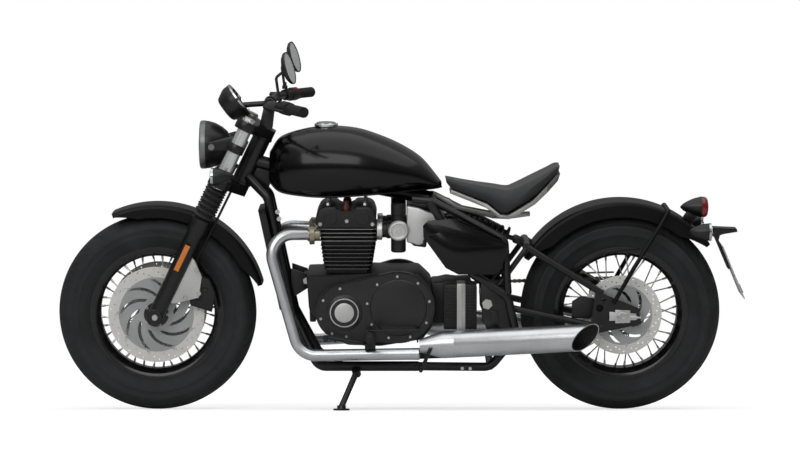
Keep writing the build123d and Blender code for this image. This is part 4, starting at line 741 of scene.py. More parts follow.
for eye_spot in (SHOCK_REAR, SHOCK_FRONT):
    turned(bm, eye_spot, ACROSS, [(-18, 6.4), (-18, 13), (18, 13), (18, 6.4)], 24, closed=True)
fit("shock_and_spring", bm, black_coat, "chassis", ["rear_shock"])

# Drive chain: oiled steel, pairs of waisted link plates on rollers, a pitch apart round both sprockets.
# Inner and outer links take turns along the path of the solid
OUTPUT = Vector((172, 0, 356))
front_r = PITCH / (2 * sin(pi / FRONT_TEETH))
drive = REAR_AXLE - OUTPUT
drive_l = drive.length
wrap = Vector((1, 0)).angle(Vector((pitch_r - front_r, (drive_l ** 2 - (pitch_r - front_r) ** 2) ** 0.5)))
run = drive_l * sin(wrap)
front_arc = 2 * wrap * front_r
rear_arc = (2 * pi - 2 * wrap) * pitch_r
total = front_arc + rear_arc + 2 * run
links = round(total / PITCH / 2) * 2
along_x = drive.normalized()
along_z = Vector((-along_x.z, 0, along_x.x))


def on_chain(s):
    """A point of the chain's pitch line at a length round it."""
    s %= total
    if s < front_arc:
        a, base, r, on = pi + wrap - s / front_r, 0, front_r, 0
    elif s < front_arc + run:
        a, base, r, on = pi - wrap, 0, front_r, s - front_arc
    elif s < front_arc + run + rear_arc:
        a, base, r, on = pi - wrap - (s - front_arc - run) / pitch_r, drive_l, pitch_r, 0
    else:
        a, base, r, on = pi + wrap, drive_l, pitch_r, s - front_arc - run - rear_arc
    x, z = base + cos(a) * r + sin(a) * on, sin(a) * r - cos(a) * on
    return OUTPUT + ACROSS * CHAIN_Y + along_x * x + along_z * z


chain_steel = surface("oiled chain steel", "8f8b82", "67635b", 1.2, (0.3, 0.46), 0.05, Metallic=1.0)
bm = bmesh.new()
half = PITCH / 2
waist = [(-half - 5.4, 0), (-half - 3.8, 4.4), (-half, 6.2), (-2.6, 4.2), (2.6, 4.2), (half, 6.2), (half + 3.8, 4.4),
         (half + 5.4, 0)]
outline = waist + [(x, -z) for x, z in reversed(waist[1:-1])]
for outer in (0, 1):
    unit = bmesh.new()
    for y in ((-7.4, -5.6), (5.6, 7.4)) if outer else ((-5.4, -3.8), (3.8, 5.4)):
        slab(unit, outline, *y)
    for x in (-half, half):
        turned(unit, (x, 0, 0), ACROSS, [(-7.5, 2.4), (7.5, 2.4)] if outer else [(-3.7, 4.9), (3.7, 4.9)], 8)
    places = []
    for i in range(outer, links, 2):
        a, b = on_chain(total * i / links), on_chain(total * (i + 1) / links)
        x_way = (b - a).normalized()
        z_way = x_way.cross(ACROSS)
        turn = Matrix((x_way, ACROSS, z_way)).transposed().to_4x4()
        places.append(Matrix.Translation((a + b) / 2) @ turn)
    repeated(bm, unit, places, chain_steel)
fit("chain_links", bm, chain_steel, "chassis", ["drive_chain"])

# Engine: a black-painted crankcase between two darker covers, whose edges are rounded and held by small
# bright socket screws; the round plate in the left cover is left bare
CRANKCASE = [(-300, 456), (-85, 462), (60, 462), (100, 424), (112, 340), (104, 290), (72, 249), (-63, 227),
             (-170, 231), (-242, 276), (-292, 347), (-296, 410)]
CLUTCH = (-178, 0, 341)
DRIVE_COVER = (-5, 0, 356)
cover_grey = surface("satin graphite casting paint", "1c1c1e", "252527", 1.2, (0.3, 0.46), 0.07, Coat_Weight=0.15)
bm = bmesh.new()
slab(bm, CRANKCASE, -140, 140, 7)
slab(bm, [(100, 425), (225, 430), (238, 400), (238, 330), (222, 296), (100, 290)], -80, 80, 7)
slab(bm, [(-312, 408), (-290, 400), (-290, 450), (-312, 446)], -61.7, 61.7, 2)
pipe(bm, [(172, 80, 356), (172, 104, 356)], 14, 0, 24)
for x in range(-210, 60, 44):
    slab(bm, [(x, 236), (x + 5, 236), (x + 5, 250), (x, 250)], -120, 120, 1)
slab(bm, [(-290, 300), (-270, 300), (-270, 420), (-294, 420)], -100, 100, 4)
fit("crankcase_cast", bm, cast_black, "chassis", ["crankcase"])
bm = bmesh.new()
rims = bmesh.new()
screws = []
for side, big in ((-1, 92.0), (1, 80.0)):
    cloud = ring_of(CLUTCH[0], CLUTCH[2], big, 56) + ring_of(DRIVE_COVER[0], DRIVE_COVER[2], 116, 72)
    outline = [cloud[i] for i in convex_hull_2d(cloud)]
    slab(bm, outline, *between(side, 138, 160), 4)
    middle = Vector([sum(p[k] for p in outline) / len(outline) for k in (0, 1)])
    inner = [tuple(middle + (Vector(p) - middle) * 0.965) for p in outline]
    slab(bm, inner, *between(side, 150, 170), 9, 3)
    turned(bm, CLUTCH, (0, side, 0), [(160, 0), (160, 58), (172, 58), (177, 53), (178, 49), (176, 46), (176, 0)], 72)
    turned(bm, DRIVE_COVER, (0, side, 0), [(160, 0), (160, 92), (170, 91), (173, 88), (178, 62), (180.5, 34),
                                           (181.5, 0)], 72)
    turned(rims, CLUTCH, (0, side, 0), [(174, 47), (174, 43), (178.6, 43), (178.6, 46), (177, 47)], 64, closed=True)
    turned(rims, CLUTCH, (0, side, 0), [(174, 0), (174, 31), (178.2, 31), (178.8, 29.5), (178.8, 0)], 64)
    for centre, r, angles in ((DRIVE_COVER, 101, range(12, 372, 40)), (CLUTCH, big - 14, (100, 150, 195, 240, 275))):
        screws += [facing(around(centre, r, radians(a), side * 169.6), (0, side, 0)) for a in angles]
slab(bm, [(112.3, 300), (112.3, 415), (150, 424), (214, 416), (236, 380), (232, 322), (206, 296), (150, 290)],
     112, 140, 6, 3)
fit("engine_side_covers", bm, cover_grey, "chassis", ["engine_covers"])
fit("cover_rings", rims, satin_alloy, "chassis")
bm = bmesh.new()
repeated(bm, screw(4.4, 4, 16, 0.5), screws, bright_zinc)
fit("cover_screws", bm, bright_zinc, "chassis")


# Cylinders: a black barrel and head with cast cooling fins, whose rims are machined bright, under a cam
# cover with two bosses and domed bolts
machined = surface("machined fin edge", "c4c4c2", "adadab", 1.0, (0.3, 0.45), 0.02, Metallic=1.0)
edges = bmesh.new()
for name, node, low, high, count, core, ends, half in (
    ("barrel_finned", "cylinder_barrel", 462, 553, 7, 112, (-242, -92, -254, -78), 130),
    ("head_finned", "cylinder_head", 553, 607, 4, 116, (-255, -74, -256, -74), 136),
):
    bm = bmesh.new()
    front_low, rear_low, front_high, rear_high = ends
    slab(bm, [(front_low + 14, low), (front_high + 14, high), (rear_high - 14, high), (rear_low - 14, low)],
         -core, core)
    for i in range(count):
        share = (i + 1) / count
        z = low + (high - low - 4) * share
        x0 = front_low + (front_high - front_low) * share
        x1 = rear_low + (rear_high - rear_low) * share
        outline = []
        for x, y, start in ((x1 - 18, half - 18, 0), (x0 + 18, half - 18, 90), (x0 + 18, 18 - half, 180),
                            (x1 - 18, 18 - half, 270)):
            for k in range(7):
                a = radians(start + 15 * k)
                outline.append((x + 18 * cos(a), y + 18 * sin(a)))
        slab(bm, outline, z, z + 4, 0.8, level=True)
        middle_x = (x0 + x1) / 2
        thin = 1.3 if name == "head_finned" else 1.8
        slab(edges, [(middle_x + (x - middle_x) * 1.004, y * 1.004) for x, y in outline], z + thin, z + 4 - thin,
             level=True)
    if name == "head_finned":
        slab(bm, [(-262, 607), (-271, 640), (-258, 668), (-240, 678), (-205, 678), (-188, 656), (-158, 656),
                  (-141, 678), (-100, 678), (-84, 668), (-75, 640), (-80, 607)], -138, 138, 7, 3)
        for x in (-222, -120):
            turned(bm, (x, 0, 640), ACROSS, [(-139.5, 0), (-139.5, 20), (-136, 24), (136, 24), (139.5, 20),
                                             (139.5, 0)], 40)
    fit(name, bm, cast_black, "chassis", [node])
fit("fin_rims", edges, machined, "chassis")
bm = bmesh.new()
places = [facing((x, y, 678), UP) for x in (-230, -112) for y in (-104, -36, 36, 104)]
places += [facing((x, side * 138.2, z), (0, side, 0))
           for side in SIDES for x, z in ((-255, 622), (-170, 632), (-88, 622))]
repeated(bm, screw(7, 7, 6, 0.4), places, bright_zinc)
fit("cam_cover_bolts", bm, bright_zinc, "chassis")
plug_brown = surface("moulded brown plug cap", "5d2a22", "4b211b", 2.0, (0.3, 0.42), 0.03)
bm = bmesh.new()
for side in SIDES:
    turned(bm, (-172, side * 112, 650), UP, [(0, 12), (8, 14), (22, 14), (34, 9), (42, 9), (44, 6), (44, 0)], 24)
fit("plug_caps", bm, plug_brown, "chassis")

# Throttle bodies and airbox: black bodies with bright dished caps, feeding from a box whose fronts are
# bright satin castings
bm = bmesh.new()
caps = bmesh.new()
CAP = (-5, 0, 599)
for side in SIDES:
    y = side * 96
    turned(bm, (-73.7, y, 598), BACK, [(0, 27), (10, 27), (12, 24), (30, 24), (32, 27), (94, 27)], 40)
    turned(bm, (-5, y, 527), (0, 0, 1), [(0, 20), (4, 24), (60, 24), (62, 22), (120, 22), (122, 24.5), (154, 24.5),
                                         (157, 21)], 40)
    turned(caps, CAP, (0, side, 0), [(114, 0), (114, 30), (118, 32.5), (132, 32.5), (137, 29), (138, 24), (135, 20),
                                     (134, 0)], 48)
    turned(caps, CAP, (0, side, 0), [(133, 0), (133, 9), (138.5, 8), (138.5, 0)], 24)
    slab(caps, [(21, 678), (60, 670), (100, 653), (158, 630), (92, 628), (78, 600), (78, 556), (60, 548), (21, 560)],
         *between(side, 84, 112), 6, 3)
    turned(caps, (-74, y, 598), BACK, [(0.5, 26), (0.5, 31), (6, 32), (16, 32), (18, 27), (18, 26)], 40, closed=True)
fit("throttle_castings", bm, cast_black, "chassis", ["throttle_bodies"])
fit("bright_caps", caps, satin_alloy, "chassis")
box_plastic = surface("moulded black plastic", "121213", "1a1a1b", 1.1, (0.42, 0.58), 0.06)
bm = bmesh.new()
slab(bm, [(21, 674), (100, 657), (84, 539), (44, 544), (21, 566)], -84, 84, 5, 3)
fit("airbox_moulded", bm, box_plastic, "chassis", ["airbox"])

# Radiator: a core of thin black slats between two tanks, in a frame of its own, ahead of the engine. Its
# fixings are not drawn
down_way = Vector((-80, 0, 378)).normalized()
down_front = Vector((-down_way.z, 0, down_way.x))
core_base = Vector((-345, 0, 322)) + down_way * 24 + down_front * 16.3
bm = bmesh.new()


def brick(bm, base, sides, halves):
    """Adds a box about a point, from three directions and its half sizes along them."""
    corners = []
    for a in (-1, 1):
        for b, c in ((-1, -1), (1, -1), (1, 1), (-1, 1)):
            corners.append(base + sides[0] * halves[0] * a + sides[1] * halves[1] * b + sides[2] * halves[2] * c)
    skin(bm, [corners[:4], corners[4:]])


SLATS, SLAT_APART = 60, 5
core_sides = (down_way, ACROSS, down_front)
for up, out, high, wide in ((8, 0, 8, 88), (322, 0, 8, 88), (165, 80, 165, 8), (165, -80, 165, 8)):
    brick(bm, core_base + down_way * up + ACROSS * out + down_front * 11, core_sides, (high, wide, 11))
brick(bm, core_base + down_way * 165 + down_front * 11, core_sides, (150, 74, 6))
slat = bmesh.new()
brick(slat, Vector((0, 0, 0)), core_sides, (0.8, 74, 8))
repeated(bm, slat, [Matrix.Translation(core_base + down_way * (18 + SLAT_APART * i) + down_front * 13)
                    for i in range(SLATS)], box_plastic)
fit("radiator_core", bm, box_plastic, "chassis", ["radiator"])


# Exhaust: brushed stainless headers, clamped to the ports and bent back under the engine, then a cone and
# a slash-cut silencer each side. The brushing runs round the tube and draws the highlight across it
stainless = surface("brushed stainless tube", "e6e8ea", "d6d8db", 0.9, (0.26, 0.42), 0.02, (0.12, 1, 1), Metallic=1.0)
heat_steel = surface("heat-tinted clamp steel", "b9b3a0", "a19a86", 1.2, (0.32, 0.46), 0.03, Metallic=0.7)
bm = bmesh.new()
clamps = bmesh.new()
for side in SIDES:
    pipe(bm, [(-262, side * 89, 584), (-431, side * 126, 587), (-320, side * 158, 200), (62, side * 202, 213)],
         19, 67, 32, 14)
    turned(clamps, (-256.5, side * 88, 584), (-1, 0, 0), [(0, 19.5), (0, 22.6), (17, 22.6), (18, 33), (32, 34),
                                                          (34, 31), (35, 24), (40, 23), (40, 19.5)], 40, closed=True)
    for z in (1, -1):
        turned(clamps, (-268, side * 88 + side * z * 22, 584 + z * 20), (-1, 0, 0), [(0, 6), (26, 6), (27, 5)], 6)
fit("header_pipes", bm, stainless, "chassis", ["exhaust_headers"])
fit("port_clamps", clamps, heat_steel, "chassis")
silencer_way = Vector((cos(radians(2.9)), 0, sin(radians(2.9))))
SLASH_AT = 452.6


def slashed(bm, side, profile):
    """Adds a turned tube of one silencer, cut off by the plane of its slanting end."""
    start = Vector((138, side * 207, 243))
    one = bmesh.new()
    turned(one, start, silencer_way, profile, 64)
    cut = bmesh.ops.bisect_plane(one, geom=one.verts[:] + one.edges[:] + one.faces[:],
                                 plane_co=start + silencer_way * SLASH_AT, plane_no=(0.686, side * 0.654, -0.319),
                                 clear_outer=True)
    rim = [e for e in cut["geom_cut"] if isinstance(e, bmesh.types.BMEdge)]
    bmesh.ops.triangle_fill(one, use_beauty=True, edges=rim)
    joined = bpy.data.meshes.new("silencer")
    one.to_mesh(joined)
    one.free()
    bm.from_mesh(joined)
    bpy.data.meshes.remove(joined)


bm = bmesh.new()
sooty = bmesh.new()
hangers = bmesh.new()
for side in SIDES:
    slashed(bm, side, [(-76, 21), (-72, 22.5), (-4, 42.4), (0, 43), (30, 43), (31, 43.3), (34, 43.3), (35, 43),
                       (540, 43), (540, 40.5), (345, 40.5), (344, 0)])
    slashed(sooty, side, [(346, 0), (347, 40.3), (540, 40.3), (540, 37), (352, 37), (350, 20), (349, 0)])
    slab(hangers, [(292, 345), (314, 345), (318, 288), (288, 288)], *between(side, 152.3, 158.3), 1.5)
    slab(hangers, [(288, 286), (318, 286), (318, 294), (288, 294)], *between(side, 152.3, 200), 1)
fit("slash_cut_silencers", bm, stainless, "chassis", ["silencers"])
soot = surface("sooted tube bore", "101010", "191817", 1.6, (0.6, 0.8), 0.06)
fit("silencer_bores", sooty, soot, "chassis")
fit("silencer_hangers", hangers, black_coat, "chassis")

# Fuel tank: a pressed teardrop in gloss black with a rolled seam along its foot and a bright screw cap.
# The enamel is deep and even under its clear coat, so only the lamps and the horizon draw its form
TANK = (
    # x, bottom z, top z, half width at the seam, half width at the widest
    (-420, 745, 842, 40, 54), (-385, 716, 890, 66, 90), (-310, 705, 916, 92, 130), (-230, 702, 926, 104, 145),
    (-140, 706, 919, 102, 147), (-60, 712, 894, 96, 138), (10, 718, 862, 82, 120), (70, 722, 822, 66, 96),
    (116, 726, 768, 48, 62), (134, 729, 744, 38, 44),
)


def curved(points, steps):
    """Points on a smooth Catmull-Rom curve through the given ones."""
    out = []
    points = [Vector(p) for p in points]
    ends = [points[0] * 2 - points[1]] + points + [points[-1] * 2 - points[-2]]
    for a, b, c, d in zip(ends, ends[1:], ends[2:], ends[3:]):
        for i in range(steps):
            t = i / steps
            out.append(0.5 * (2 * b + (c - a) * t + (2 * a - 5 * b + 4 * c - d) * t * t
                              + (3 * b - a - 3 * c + d) * t ** 3))
    return out + [points[-1]]


rings = []
foot = []
for x, low, top, half_low, half_mid in (tuple(row) for row in curved(TANK, 6)):
    high = top - low
    right = [(half_low * 0.6, low + 1), (half_low, low + 3), (half_mid * 0.93, low + high * 0.2),
             (half_mid, low + high * 0.38), (half_mid * 0.95, low + high * 0.6), (half_mid * 0.74, low + high * 0.82),
             (half_mid * 0.36, low + high * 0.965), (0, top)]
    arc = [tuple(p) for p in curved(right, 5)]
    rings.append([Vector((x, y, z)) for y, z in arc] + [Vector((x, -y, z)) for y, z in reversed(arc[:-1])])
    foot.append((x, half_low, low + 3))
bm = bmesh.new()
skin(bm, rings)
seam = [(x, y + 2, z) for x, y, z in foot]
pipe(bm, seam, 3, 0, 10)
pipe(bm, [(x, -y, z) for x, y, z in seam], 3, 0, 10)
fit("tank_enamelled", bm, gloss_black, "chassis", ["fuel_tank"], 45)
bm = bmesh.new()
turned(bm, (-238, 0, 923.8), UP, [(0, 0), (0, 38), (6, 38), (8, 36), (9, 33), (11, 32), (13.6, 26), (13.9, 0)], 48)
for i in range(3):
    a = radians(120 * i)
    turned(bm, (-238 + 35 * cos(a), 35 * sin(a), 930), UP, [(0, 3), (2.5, 3), (3, 2)], 12)
fit("fuel_cap_chromed", bm, hard_chrome, "chassis", ["fuel_cap"])

# Side covers: moulded plastic panels with a crease, painted in the tank's gloss black, one on each side.
# Their fixings are not drawn
fit("side_covers_painted", from_node("side_covers", 3.5), gloss_black, "chassis", ["side_covers"])

# Battery box: a ribbed black plastic moulding between the frame's loops, held by a pale spring steel
# strap with a folded end
bm = bmesh.new()
slab(bm, [(140, 284), (246, 284), (246, 424), (240, 430), (146, 430), (140, 424)], -156, -80, 3)
for z in range(296, 420, 10):
    for x0, x1 in ((142, 180), (211, 245)):
        slab(bm, [(x0, z), (x1, z), (x1, z + 4), (x0, z + 4)], -159, -155, 1)
fit("battery_box_moulded", bm, box_plastic, "chassis", ["battery_box"])
strap_steel = surface("brushed strap steel", "cfcfcd", "bcbcba", 0.9, (0.34, 0.5), 0.02, (1, 1, 0.1), Metallic=0.7)
bm = bmesh.new()
slab(bm, [(182, 281), (209, 281), (209, 433), (182, 433)], -161, -80, 1)
slab(bm, [(190, 286), (201, 286), (201, 428), (190, 428)], -162, -158, 0.8)
fit("battery_strap", bm, strap_steel, "chassis")

# Solo seat: a firm moulded pad in grained vinyl, without ribs or piping, on a brushed alloy pan that one
# bracket holds. The pad's front rises a little over its solid, as in the photograph
pan_alloy = surface("brushed seat pan alloy", "b4b4b3", "a3a3a1", 0.9, (0.34, 0.5), 0.03, (0.12, 1, 1), Metallic=0.8)
fit("seat_pan_brushed", from_node("seat_pan", 1.2), pan_alloy, "chassis", ["seat_pan"])
seat_vinyl = surface("grained seat vinyl", "2c2d2f", "323335", 2.4, (0.5, 0.66), 0.35, Sheen_Weight=0.15)
PAD_TOP = [(146, 762), (168, 758), (190, 753), (240, 744), (301, 735), (345, 729), (371, 737), (434, 767), (475, 788),
           (500, 802), (514, 803)]
PAD_FOOT = [(150, 742), (164, 727), (200, 711), (240, 696), (282, 681), (322, 650), (346, 649), (373, 666),
            (426, 699), (470, 741), (506, 776)]
PAD_HALF = [36, 48, 62, 76, 93, 112, 122, 132, 116, 92, 66]
PAD_STEPS = 40
PAD_DIP = 5
ROUND_ACROSS, ROUND_UP = 0.55, 0.7
rings = []
for top, foot, half in zip(curved(PAD_TOP, 5), curved(PAD_FOOT, 5), curved([(h, 0) for h in PAD_HALF], 5)):
    ring = []
    for k in range(PAD_STEPS):
        a = 2 * pi * k / PAD_STEPS
        c, s = cos(a), sin(a)
        y = half[0] * (abs(c) ** ROUND_ACROSS) * (1 if c > 0 else -1)
        lift = (abs(s) ** ROUND_UP) * (1 if s > 0 else -1)
        dip = PAD_DIP * max(0.0, 1 - (y / (half[0] * 0.75)) ** 2) if s > 0 else 0
        spot = Vector((foot[0], 0, foot[1])).lerp(Vector((top[0], 0, top[1] - dip)), 0.5 + 0.5 * lift)
        ring.append(Vector((spot.x, y, spot.z)))
    rings.append(ring)
bm = bmesh.new()
skin(bm, rings)
seat = fit("seat_pad_stuffed", bm, seat_vinyl, "chassis", ["seat_pad"], 70)

# Handlebar: one steel tube, bent and powder-coated black, clamped by two risers on the upper yoke, with
# ribbed rubber grips and moulded switchgear at its ends
BAR_WAY = [(-420, 70, 997), (-402, 190, 1007), (-298, 400, 1002)]
route = [(x, -y, z) for x, y, z in reversed(BAR_WAY)] + BAR_WAY
bar_end_way = (Vector(BAR_WAY[2]) - Vector(BAR_WAY[1])).normalized()
yoke_top = steer_base + UP_FORK * 696
bm = bmesh.new()
pipe(bm, route, 12.7, 70, 24)
low_front, low_back = yoke_top + BACK_FORK * -24 + UP_FORK * 0.3, yoke_top + BACK_FORK * 18 + UP_FORK * 0.3
for side in SIDES:
    slab(bm, [(low_front.x, low_front.z), (low_back.x, low_back.z), (-404, 990), (-437, 990)],
         side * 50 - 14, side * 50 + 14, 3)
    turned(bm, (-420, side * 50, 997), ACROSS, [(-14, 12.8), (-14, 20), (14, 20), (14, 12.8)], 32, closed=True)
fit("bar_and_risers", bm, black_coat, "steering", ["handlebar"])
grip_rubber = surface("soft grip rubber", "131313", "1b1b1b", 1.6, (0.6, 0.78), 0.08)


def bar_spot(side, back):
    """A point on one end of the bar, at a distance in from its end, and the way outwards there."""
    spot = Vector(BAR_WAY[2]) - bar_end_way * back
    return Vector((spot.x, side * spot.y, spot.z)), Vector((bar_end_way.x, side * bar_end_way.y, bar_end_way.z))


bm = bmesh.new()
for side in SIDES:
    base, out = bar_spot(side, 104)
    ribs = [(0, 12.9), (0, 17), (5, 17), (6, 15.5)]
    for i in range(15):
        ribs += [(8 + 6 * i, 15.5), (9 + 6 * i, 16.8), (12 + 6 * i, 16.8), (13 + 6 * i, 15.5)]
    turned(bm, base, out, ribs + [(99, 17), (103.8, 17), (103.8, 12.9)], 32, closed=True)
fit("grips_ribbed", bm, grip_rubber, "steering", ["grips"])
switch_plastic = surface("matt switchgear plastic", "101011", "171718", 1.0, (0.48, 0.62), 0.05)
fit("switchgear_moulded", from_node("bar_controls", 1.6, 50), switch_plastic, "steering",
    ["bar_controls"], 50)
red_plastic = surface("red switch plastic", "b31217", "9d0f14", 1.0, (0.3, 0.4), 0.02)
bm = bmesh.new()
base, out = bar_spot(1, 134)
brick(bm, base + Vector((14, 0, 14)), (out, Vector((0.7, 0, 0.7)), Vector((-0.7, 0, 0.7))), (7, 6, 4))
fit("stop_switch", bm, red_plastic, "steering")

# Mirrors: round black shells on bent stems, each with a silvered glass set in a thin rim. They are turned
# a little towards the left, as in the photograph
mirror_glass = surface("silvered mirror glass", "f3f5f6", "eef0f1", 8.0, (0.12, 0.16), 0.0, Metallic=0.15)
lamp_black = surface("satin black lamp shell", "151516", "1b1b1c", 4.0, (0.34, 0.44), 0.008, Coat_Weight=0.1)
bm = bmesh.new()
glass = bmesh.new()
for side in SIDES:
    perch = bar_spot(side, 184)[0]
    foot = perch + Vector((0, side * 8, 19.3))
    centre = Vector((-352, foot.y + side * 14, 1128))
    look = Vector((0.94, -0.2, 0.275)).normalized()
    pipe(bm, [foot, foot + Vector((-10, side * 6, 74)), centre - look * 4], 4.5, 14, 16)
    turned(bm, foot, (0, 0, 1), [(0, 9), (10, 9), (12, 6), (22, 6)], 24)
    turned(bm, centre, look, [(-18, 0), (-18, 12), (-15, 20), (-8, 40), (-1, 50), (4, 52), (8, 52), (8, 49),
                              (5, 49), (5, 0)], 56)
    turned(glass, centre, look, [(4.5, 0), (4.5, 48.6), (6.2, 48.6), (6.4, 0)], 56)
fit("mirror_shells", bm, lamp_black, "steering", ["mirrors"])
fit("mirror_glasses", glass, mirror_glass, "steering")

# Instrument: a black moulded pod on an arm in front of the bars, with a chromed bezel pressed over its
# rim and a dark dial with plain white ticks
dial_back = Vector((-564, 0, 974.5))
dial_front = Vector((-514.5, 0, 1012.2))
dial_way = (dial_front - dial_back).normalized()
dial_deep = (dial_front - dial_back).length
bm = bmesh.new()
turned(bm, dial_back, dial_way, [(0, 0), (0, 34), (4, 42), (30, 56), (40, 58.5), (dial_deep - 5, 58.5),
                                 (dial_deep - 5, 50), (dial_deep - 9, 50), (dial_deep - 9, 0)], 64)
pipe(bm, [(-535, 0, 990), (-433, 0, 997)], 9, 0, 16)
fit("instrument_pod", bm, lamp_black, "steering", ["instrument"])
bm = bmesh.new()
turned(bm, dial_front, dial_way, [(-6, 58.8), (-1, 58.8), (0, 57), (0, 51), (-4, 50.2), (-6, 50.2)], 64, closed=True)
fit("instrument_bezel", bm, hard_chrome, "steering")
dial_print = surface("printed dial face", "1b1d20", "202226", 2.0, (0.4, 0.5), 0.0)
bm = bmesh.new()
turned(bm, dial_front, dial_way, [(-8.8, 0), (-8.8, 49.6), (-8, 49.6), (-8, 0)], 48)
fit("instrument_dial", bm, dial_print, "steering")
TICKS, TICK_TURN = 17, 15
tick_paint = surface("white dial ink", "e6e6e2", "dededa", 2.0, (0.4, 0.5), 0.0)
bm = bmesh.new()
tick = bmesh.new()
brick(tick, Vector((41, 0, 0)), (BACK, ACROSS, UP), (4.5, 0.9, 0.3))
face_turn = dial_way.to_track_quat("Z", "Y").to_matrix().to_4x4()
at_face = Matrix.Translation(dial_front - dial_way * 7.8) @ face_turn
repeated(bm, tick, [at_face @ Matrix.Rotation(radians(TICK_TURN * i - 30), 4, "Z") for i in range(TICKS)],
         tick_paint)
fit("dial_ticks", bm, tick_paint, "steering")

# Headlamp: a satin black steel bowl between two ears, closed by a grey rim that holds a domed clear
# glass in front of a silvered reflector
LAMP = Vector((-645, 0, 864))
PIVOT_X = -604
bm = bmesh.new()
turned(bm, LAMP, BACK, [(6, 70), (6, 77), (19, 77), (30, 76), (50, 70), (72, 58), (88, 44), (98, 28), (102, 12),
                        (102, 0), (96, 0), (60, 40), (30, 60), (8, 69)], 72)
pipe(bm, [(PIVOT_X, -89, LAMP.z), (PIVOT_X, 89, LAMP.z)], 6, 0, 16)
fit("headlamp_bowl", bm, lamp_black, "steering", ["headlight"])
bm = bmesh.new()
turned(bm, LAMP, BACK, [(0.5, 68), (0, 70), (2, 76), (6, 78), (19, 78), (20, 77), (20, 74), (6, 69)], 72, closed=True)
for side in SIDES:
    pipe(bm, [(PIVOT_X, side * 84, LAMP.z), (PIVOT_X, side * 91, LAMP.z)], 11, 0, 6)
rim_grey = surface("satin grey lamp rim", "8f9091", "808182", 2.0, (0.32, 0.42), 0.02, Metallic=0.6)
fit("headlamp_rim", bm, rim_grey, "steering")
bm = bmesh.new()
turned(bm, LAMP, BACK, [(7, 67.5), (24, 52), (38, 30), (44, 12), (44, 0), (46, 0), (46, 13), (40, 32), (26, 54),
                        (9, 69)], 64)
turned(bm, LAMP, BACK, [(14, 0), (14, 12), (18, 16), (44, 12), (44, 0)], 32)
silvered = surface("silvered reflector", "dcdedf", "d2d4d5", 6.0, (0.08, 0.16), 0.01, Metallic=1.0)
fit("headlamp_reflector", bm, silvered, "steering")
clear_lens = surface("clear lamp glass", "f2f4f4", "f2f4f4", 8.0, (0.02, 0.04), 0.0, Transmission_Weight=0.92,
                     IOR=1.49)
bm = bmesh.new()
turned(bm, LAMP, BACK, [(-4, 0), (-3, 30), (0, 55), (4, 68.5), (6, 68.5), (3, 56), (0, 30), (-1, 0)], 64)
fit("headlamp_glass", bm, clear_lens, "steering")


# Lamp ears and indicators: black pressed ears clamped to the stanchions; bullet indicators with a clear
# lens, on short stalks
def indicators(end, body, spot, way, stalks, nodes=()):
    """Fits two indicators: pointed shells with their stalks, and silvered dishes and rims round domed lenses."""
    shells, lenses, dishes = bmesh.new(), bmesh.new(), bmesh.new()
    x, y, z = spot
    for side in SIDES:
        base = (x, side * y, z)
        turned(dishes, base, way, [(10, 24.5), (12, 22), (17, 12), (19, 0), (20.5, 0), (18.5, 13), (13, 24.5)], 40)
        turned(dishes, base, way, [(5, 25.8), (5, 28.3), (12, 28.6), (12, 25.8)], 40, closed=True)
        turned(shells, base, way, [(6, 23), (6, 27.6), (10, 28), (31, 26), (50, 20), (66, 12), (75, 4), (77, 0),
                                   (20, 0)], 40)
        turned(lenses, base, way, [(0, 0), (0.6, 12), (3, 21), (6, 25.6), (9, 25.6), (6, 21), (3, 12), (2.4, 0)], 40)
        for stalk_x, near, far, stalk_z in stalks:
            pipe(shells, [(stalk_x, side * near, stalk_z), (stalk_x, side * far, stalk_z)], 6.5, 0, 16)
    fit(f"{end}_indicator_shells", shells, lamp_black, body, nodes)
    fit(f"{end}_indicator_lenses", lenses, clear_lens, body)
    fit(f"{end}_indicator_dishes", dishes, silvered, body)


bm = bmesh.new()
for side, leg in zip(SIDES, LEGS):
    slab(bm, [(-616, 850), (-616, 878), (-534, 900), (-508, 856)], *between(side, 80, 85), 1.5)
    for low, high in ((588, 616), (498, 520)):
        turned(bm, leg, UP_FORK, [(low, 23), (low, 27), (low + 2, 28), (high - 2, 28), (high, 27), (high, 23)], 36,
               closed=True)
    pipe(bm, [(-566, side * 132, 778), (-566, side * 152, 778)], 6.5, 0, 16)
    pipe(bm, [(-566, side * 140, 778), (-566, side * 146, 778)], 9, 0, 16)
fit("lamp_ears", bm, black_coat, "steering", ["lamp_brackets"])
indicators("front", "steering", (-606, 170, 778), BACK, ())
amber = surface("amber reflector plastic", "f08a1c", "e37c14", 3.0, (0.12, 0.2), 0.02, Coat_Weight=0.6)
bm = bmesh.new()
backing = bmesh.new()
for side in SIDES:
    middle = FRONT_AXLE + UP_FORK * 212 + ACROSS * side * 137 - BACK_FORK * 4
    brick(bm, middle + ACROSS * side * 2, (UP_FORK, BACK_FORK, ACROSS), (45, 8, 2.6))
    brick(backing, middle, (UP_FORK, BACK_FORK, ACROSS), (47, 10, 3))
fit("fork_reflectors", bm, amber, "steering")
fit("fork_reflector_backs", backing, box_plastic, "steering")

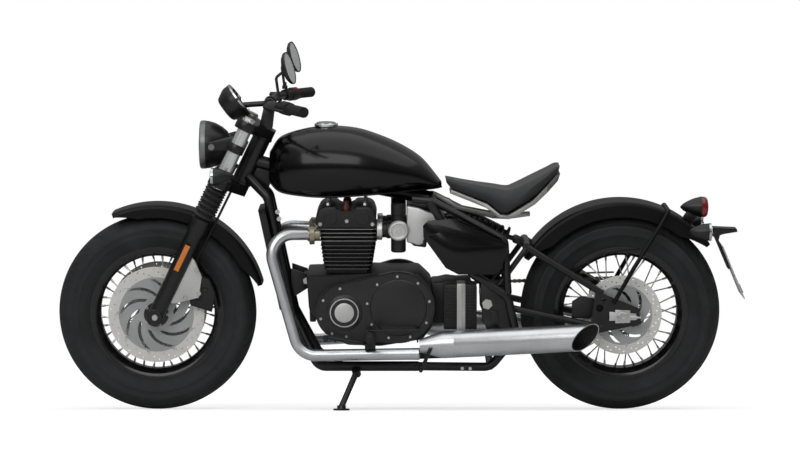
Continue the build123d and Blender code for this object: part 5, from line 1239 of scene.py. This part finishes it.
# Tail: a red lamp on a black foot on the mudguard, bullet indicators on stalks, and a hanger with the
# plate, which is left blank, and a red reflector
red_lens = surface("moulded red lens", "a30d12", "8e0a0f", 3.0, (0.08, 0.16), 0.02, Coat_Weight=0.7,
                   Transmission_Weight=0.25)
TAIL = Vector((997, 0, 661))
bm = bmesh.new()
turned(bm, TAIL, -BACK, [(22, 30), (22, 34), (24, 34), (30, 32.5), (48, 28), (66, 20), (80, 12), (89, 4), (91, 0),
                         (28, 0)], 48)
slab(bm, [(915.2, 627.3), (943.8, 607.2), (968, 640), (932, 652)], -14, 14, 2)
fit("tail_lamp_shell", bm, lamp_black, "chassis", ["tail_lamp"])
bm = bmesh.new()
turned(bm, TAIL, -BACK, [(0, 0), (0.6, 14), (2.4, 24), (5, 29), (9, 32), (14, 33.4), (22, 33.8), (22, 0)], 48)
fit("tail_lamp_lens", bm, red_lens, "chassis")
indicators("rear", "chassis", (998, 150, 598), -BACK, [(945, 85.3, 140, 592)], ["rear_indicators"])
fit("plate_hanger", from_node("plate_carrier", 1.0), black_coat, "chassis", ["plate_carrier"])
plate_white = surface("blank white plate", "e9e9e6", "e2e2df", 3.0, (0.3, 0.4), 0.01)
fit("plate_blank", from_node("number_plate", 0.8), plate_white, "chassis", ["number_plate"])
bm = bmesh.new()
PLATE_TOP = Vector((1036.2, 0, 542.1))
plate_down = Vector((71.8, 0, -169.7)).normalized()
plate_out = Vector((-plate_down.z, 0, plate_down.x))
brick(bm, PLATE_TOP + plate_down * 160 + plate_out * 5.4, (plate_down, ACROSS, plate_out), (14, 30, 2.5))
fit("rear_reflector", bm, red_lens, "chassis")

# Footrests, gear linkage and side stand: forged and coated black, with ribbed rubber on the pegs
PEG = Vector((-95, 0, 272))
bm = from_node("footrests", 1.5, 50)
for side in SIDES:
    turned(bm, PEG, (0, side, 0), [(294, 8), (294, 13), (297, 13), (299.5, 10), (299.5, 0)], 24)
pipe(bm, [(-96, -219, 289), (58, -200, 289)], 3.5, 0, 12)
pipe(bm, [(58, -200, 289), (58, -168, 289)], 5, 0, 12)
pipe(bm, [(-96, -219, 289), (-96, -208, 289)], 6, 0, 12)
fit("footrests_forged", bm, black_coat, "chassis", ["footrests"], 50)
bm = bmesh.new()
for side in SIDES:
    ribs = [(218, 10)]
    for i in range(9):
        ribs += [(220 + 8 * i, 13.2), (222 + 8 * i, 15), (225 + 8 * i, 15), (227 + 8 * i, 13.2)]
    turned(bm, PEG, (0, side, 0), ribs + [(294, 10)], 32)
fit("peg_rubbers", bm, grip_rubber, "chassis")
fit("side_stand_forged", from_node("side_stand", 1.0, 50), black_coat, "side_stand", ["side_stand"], 50)
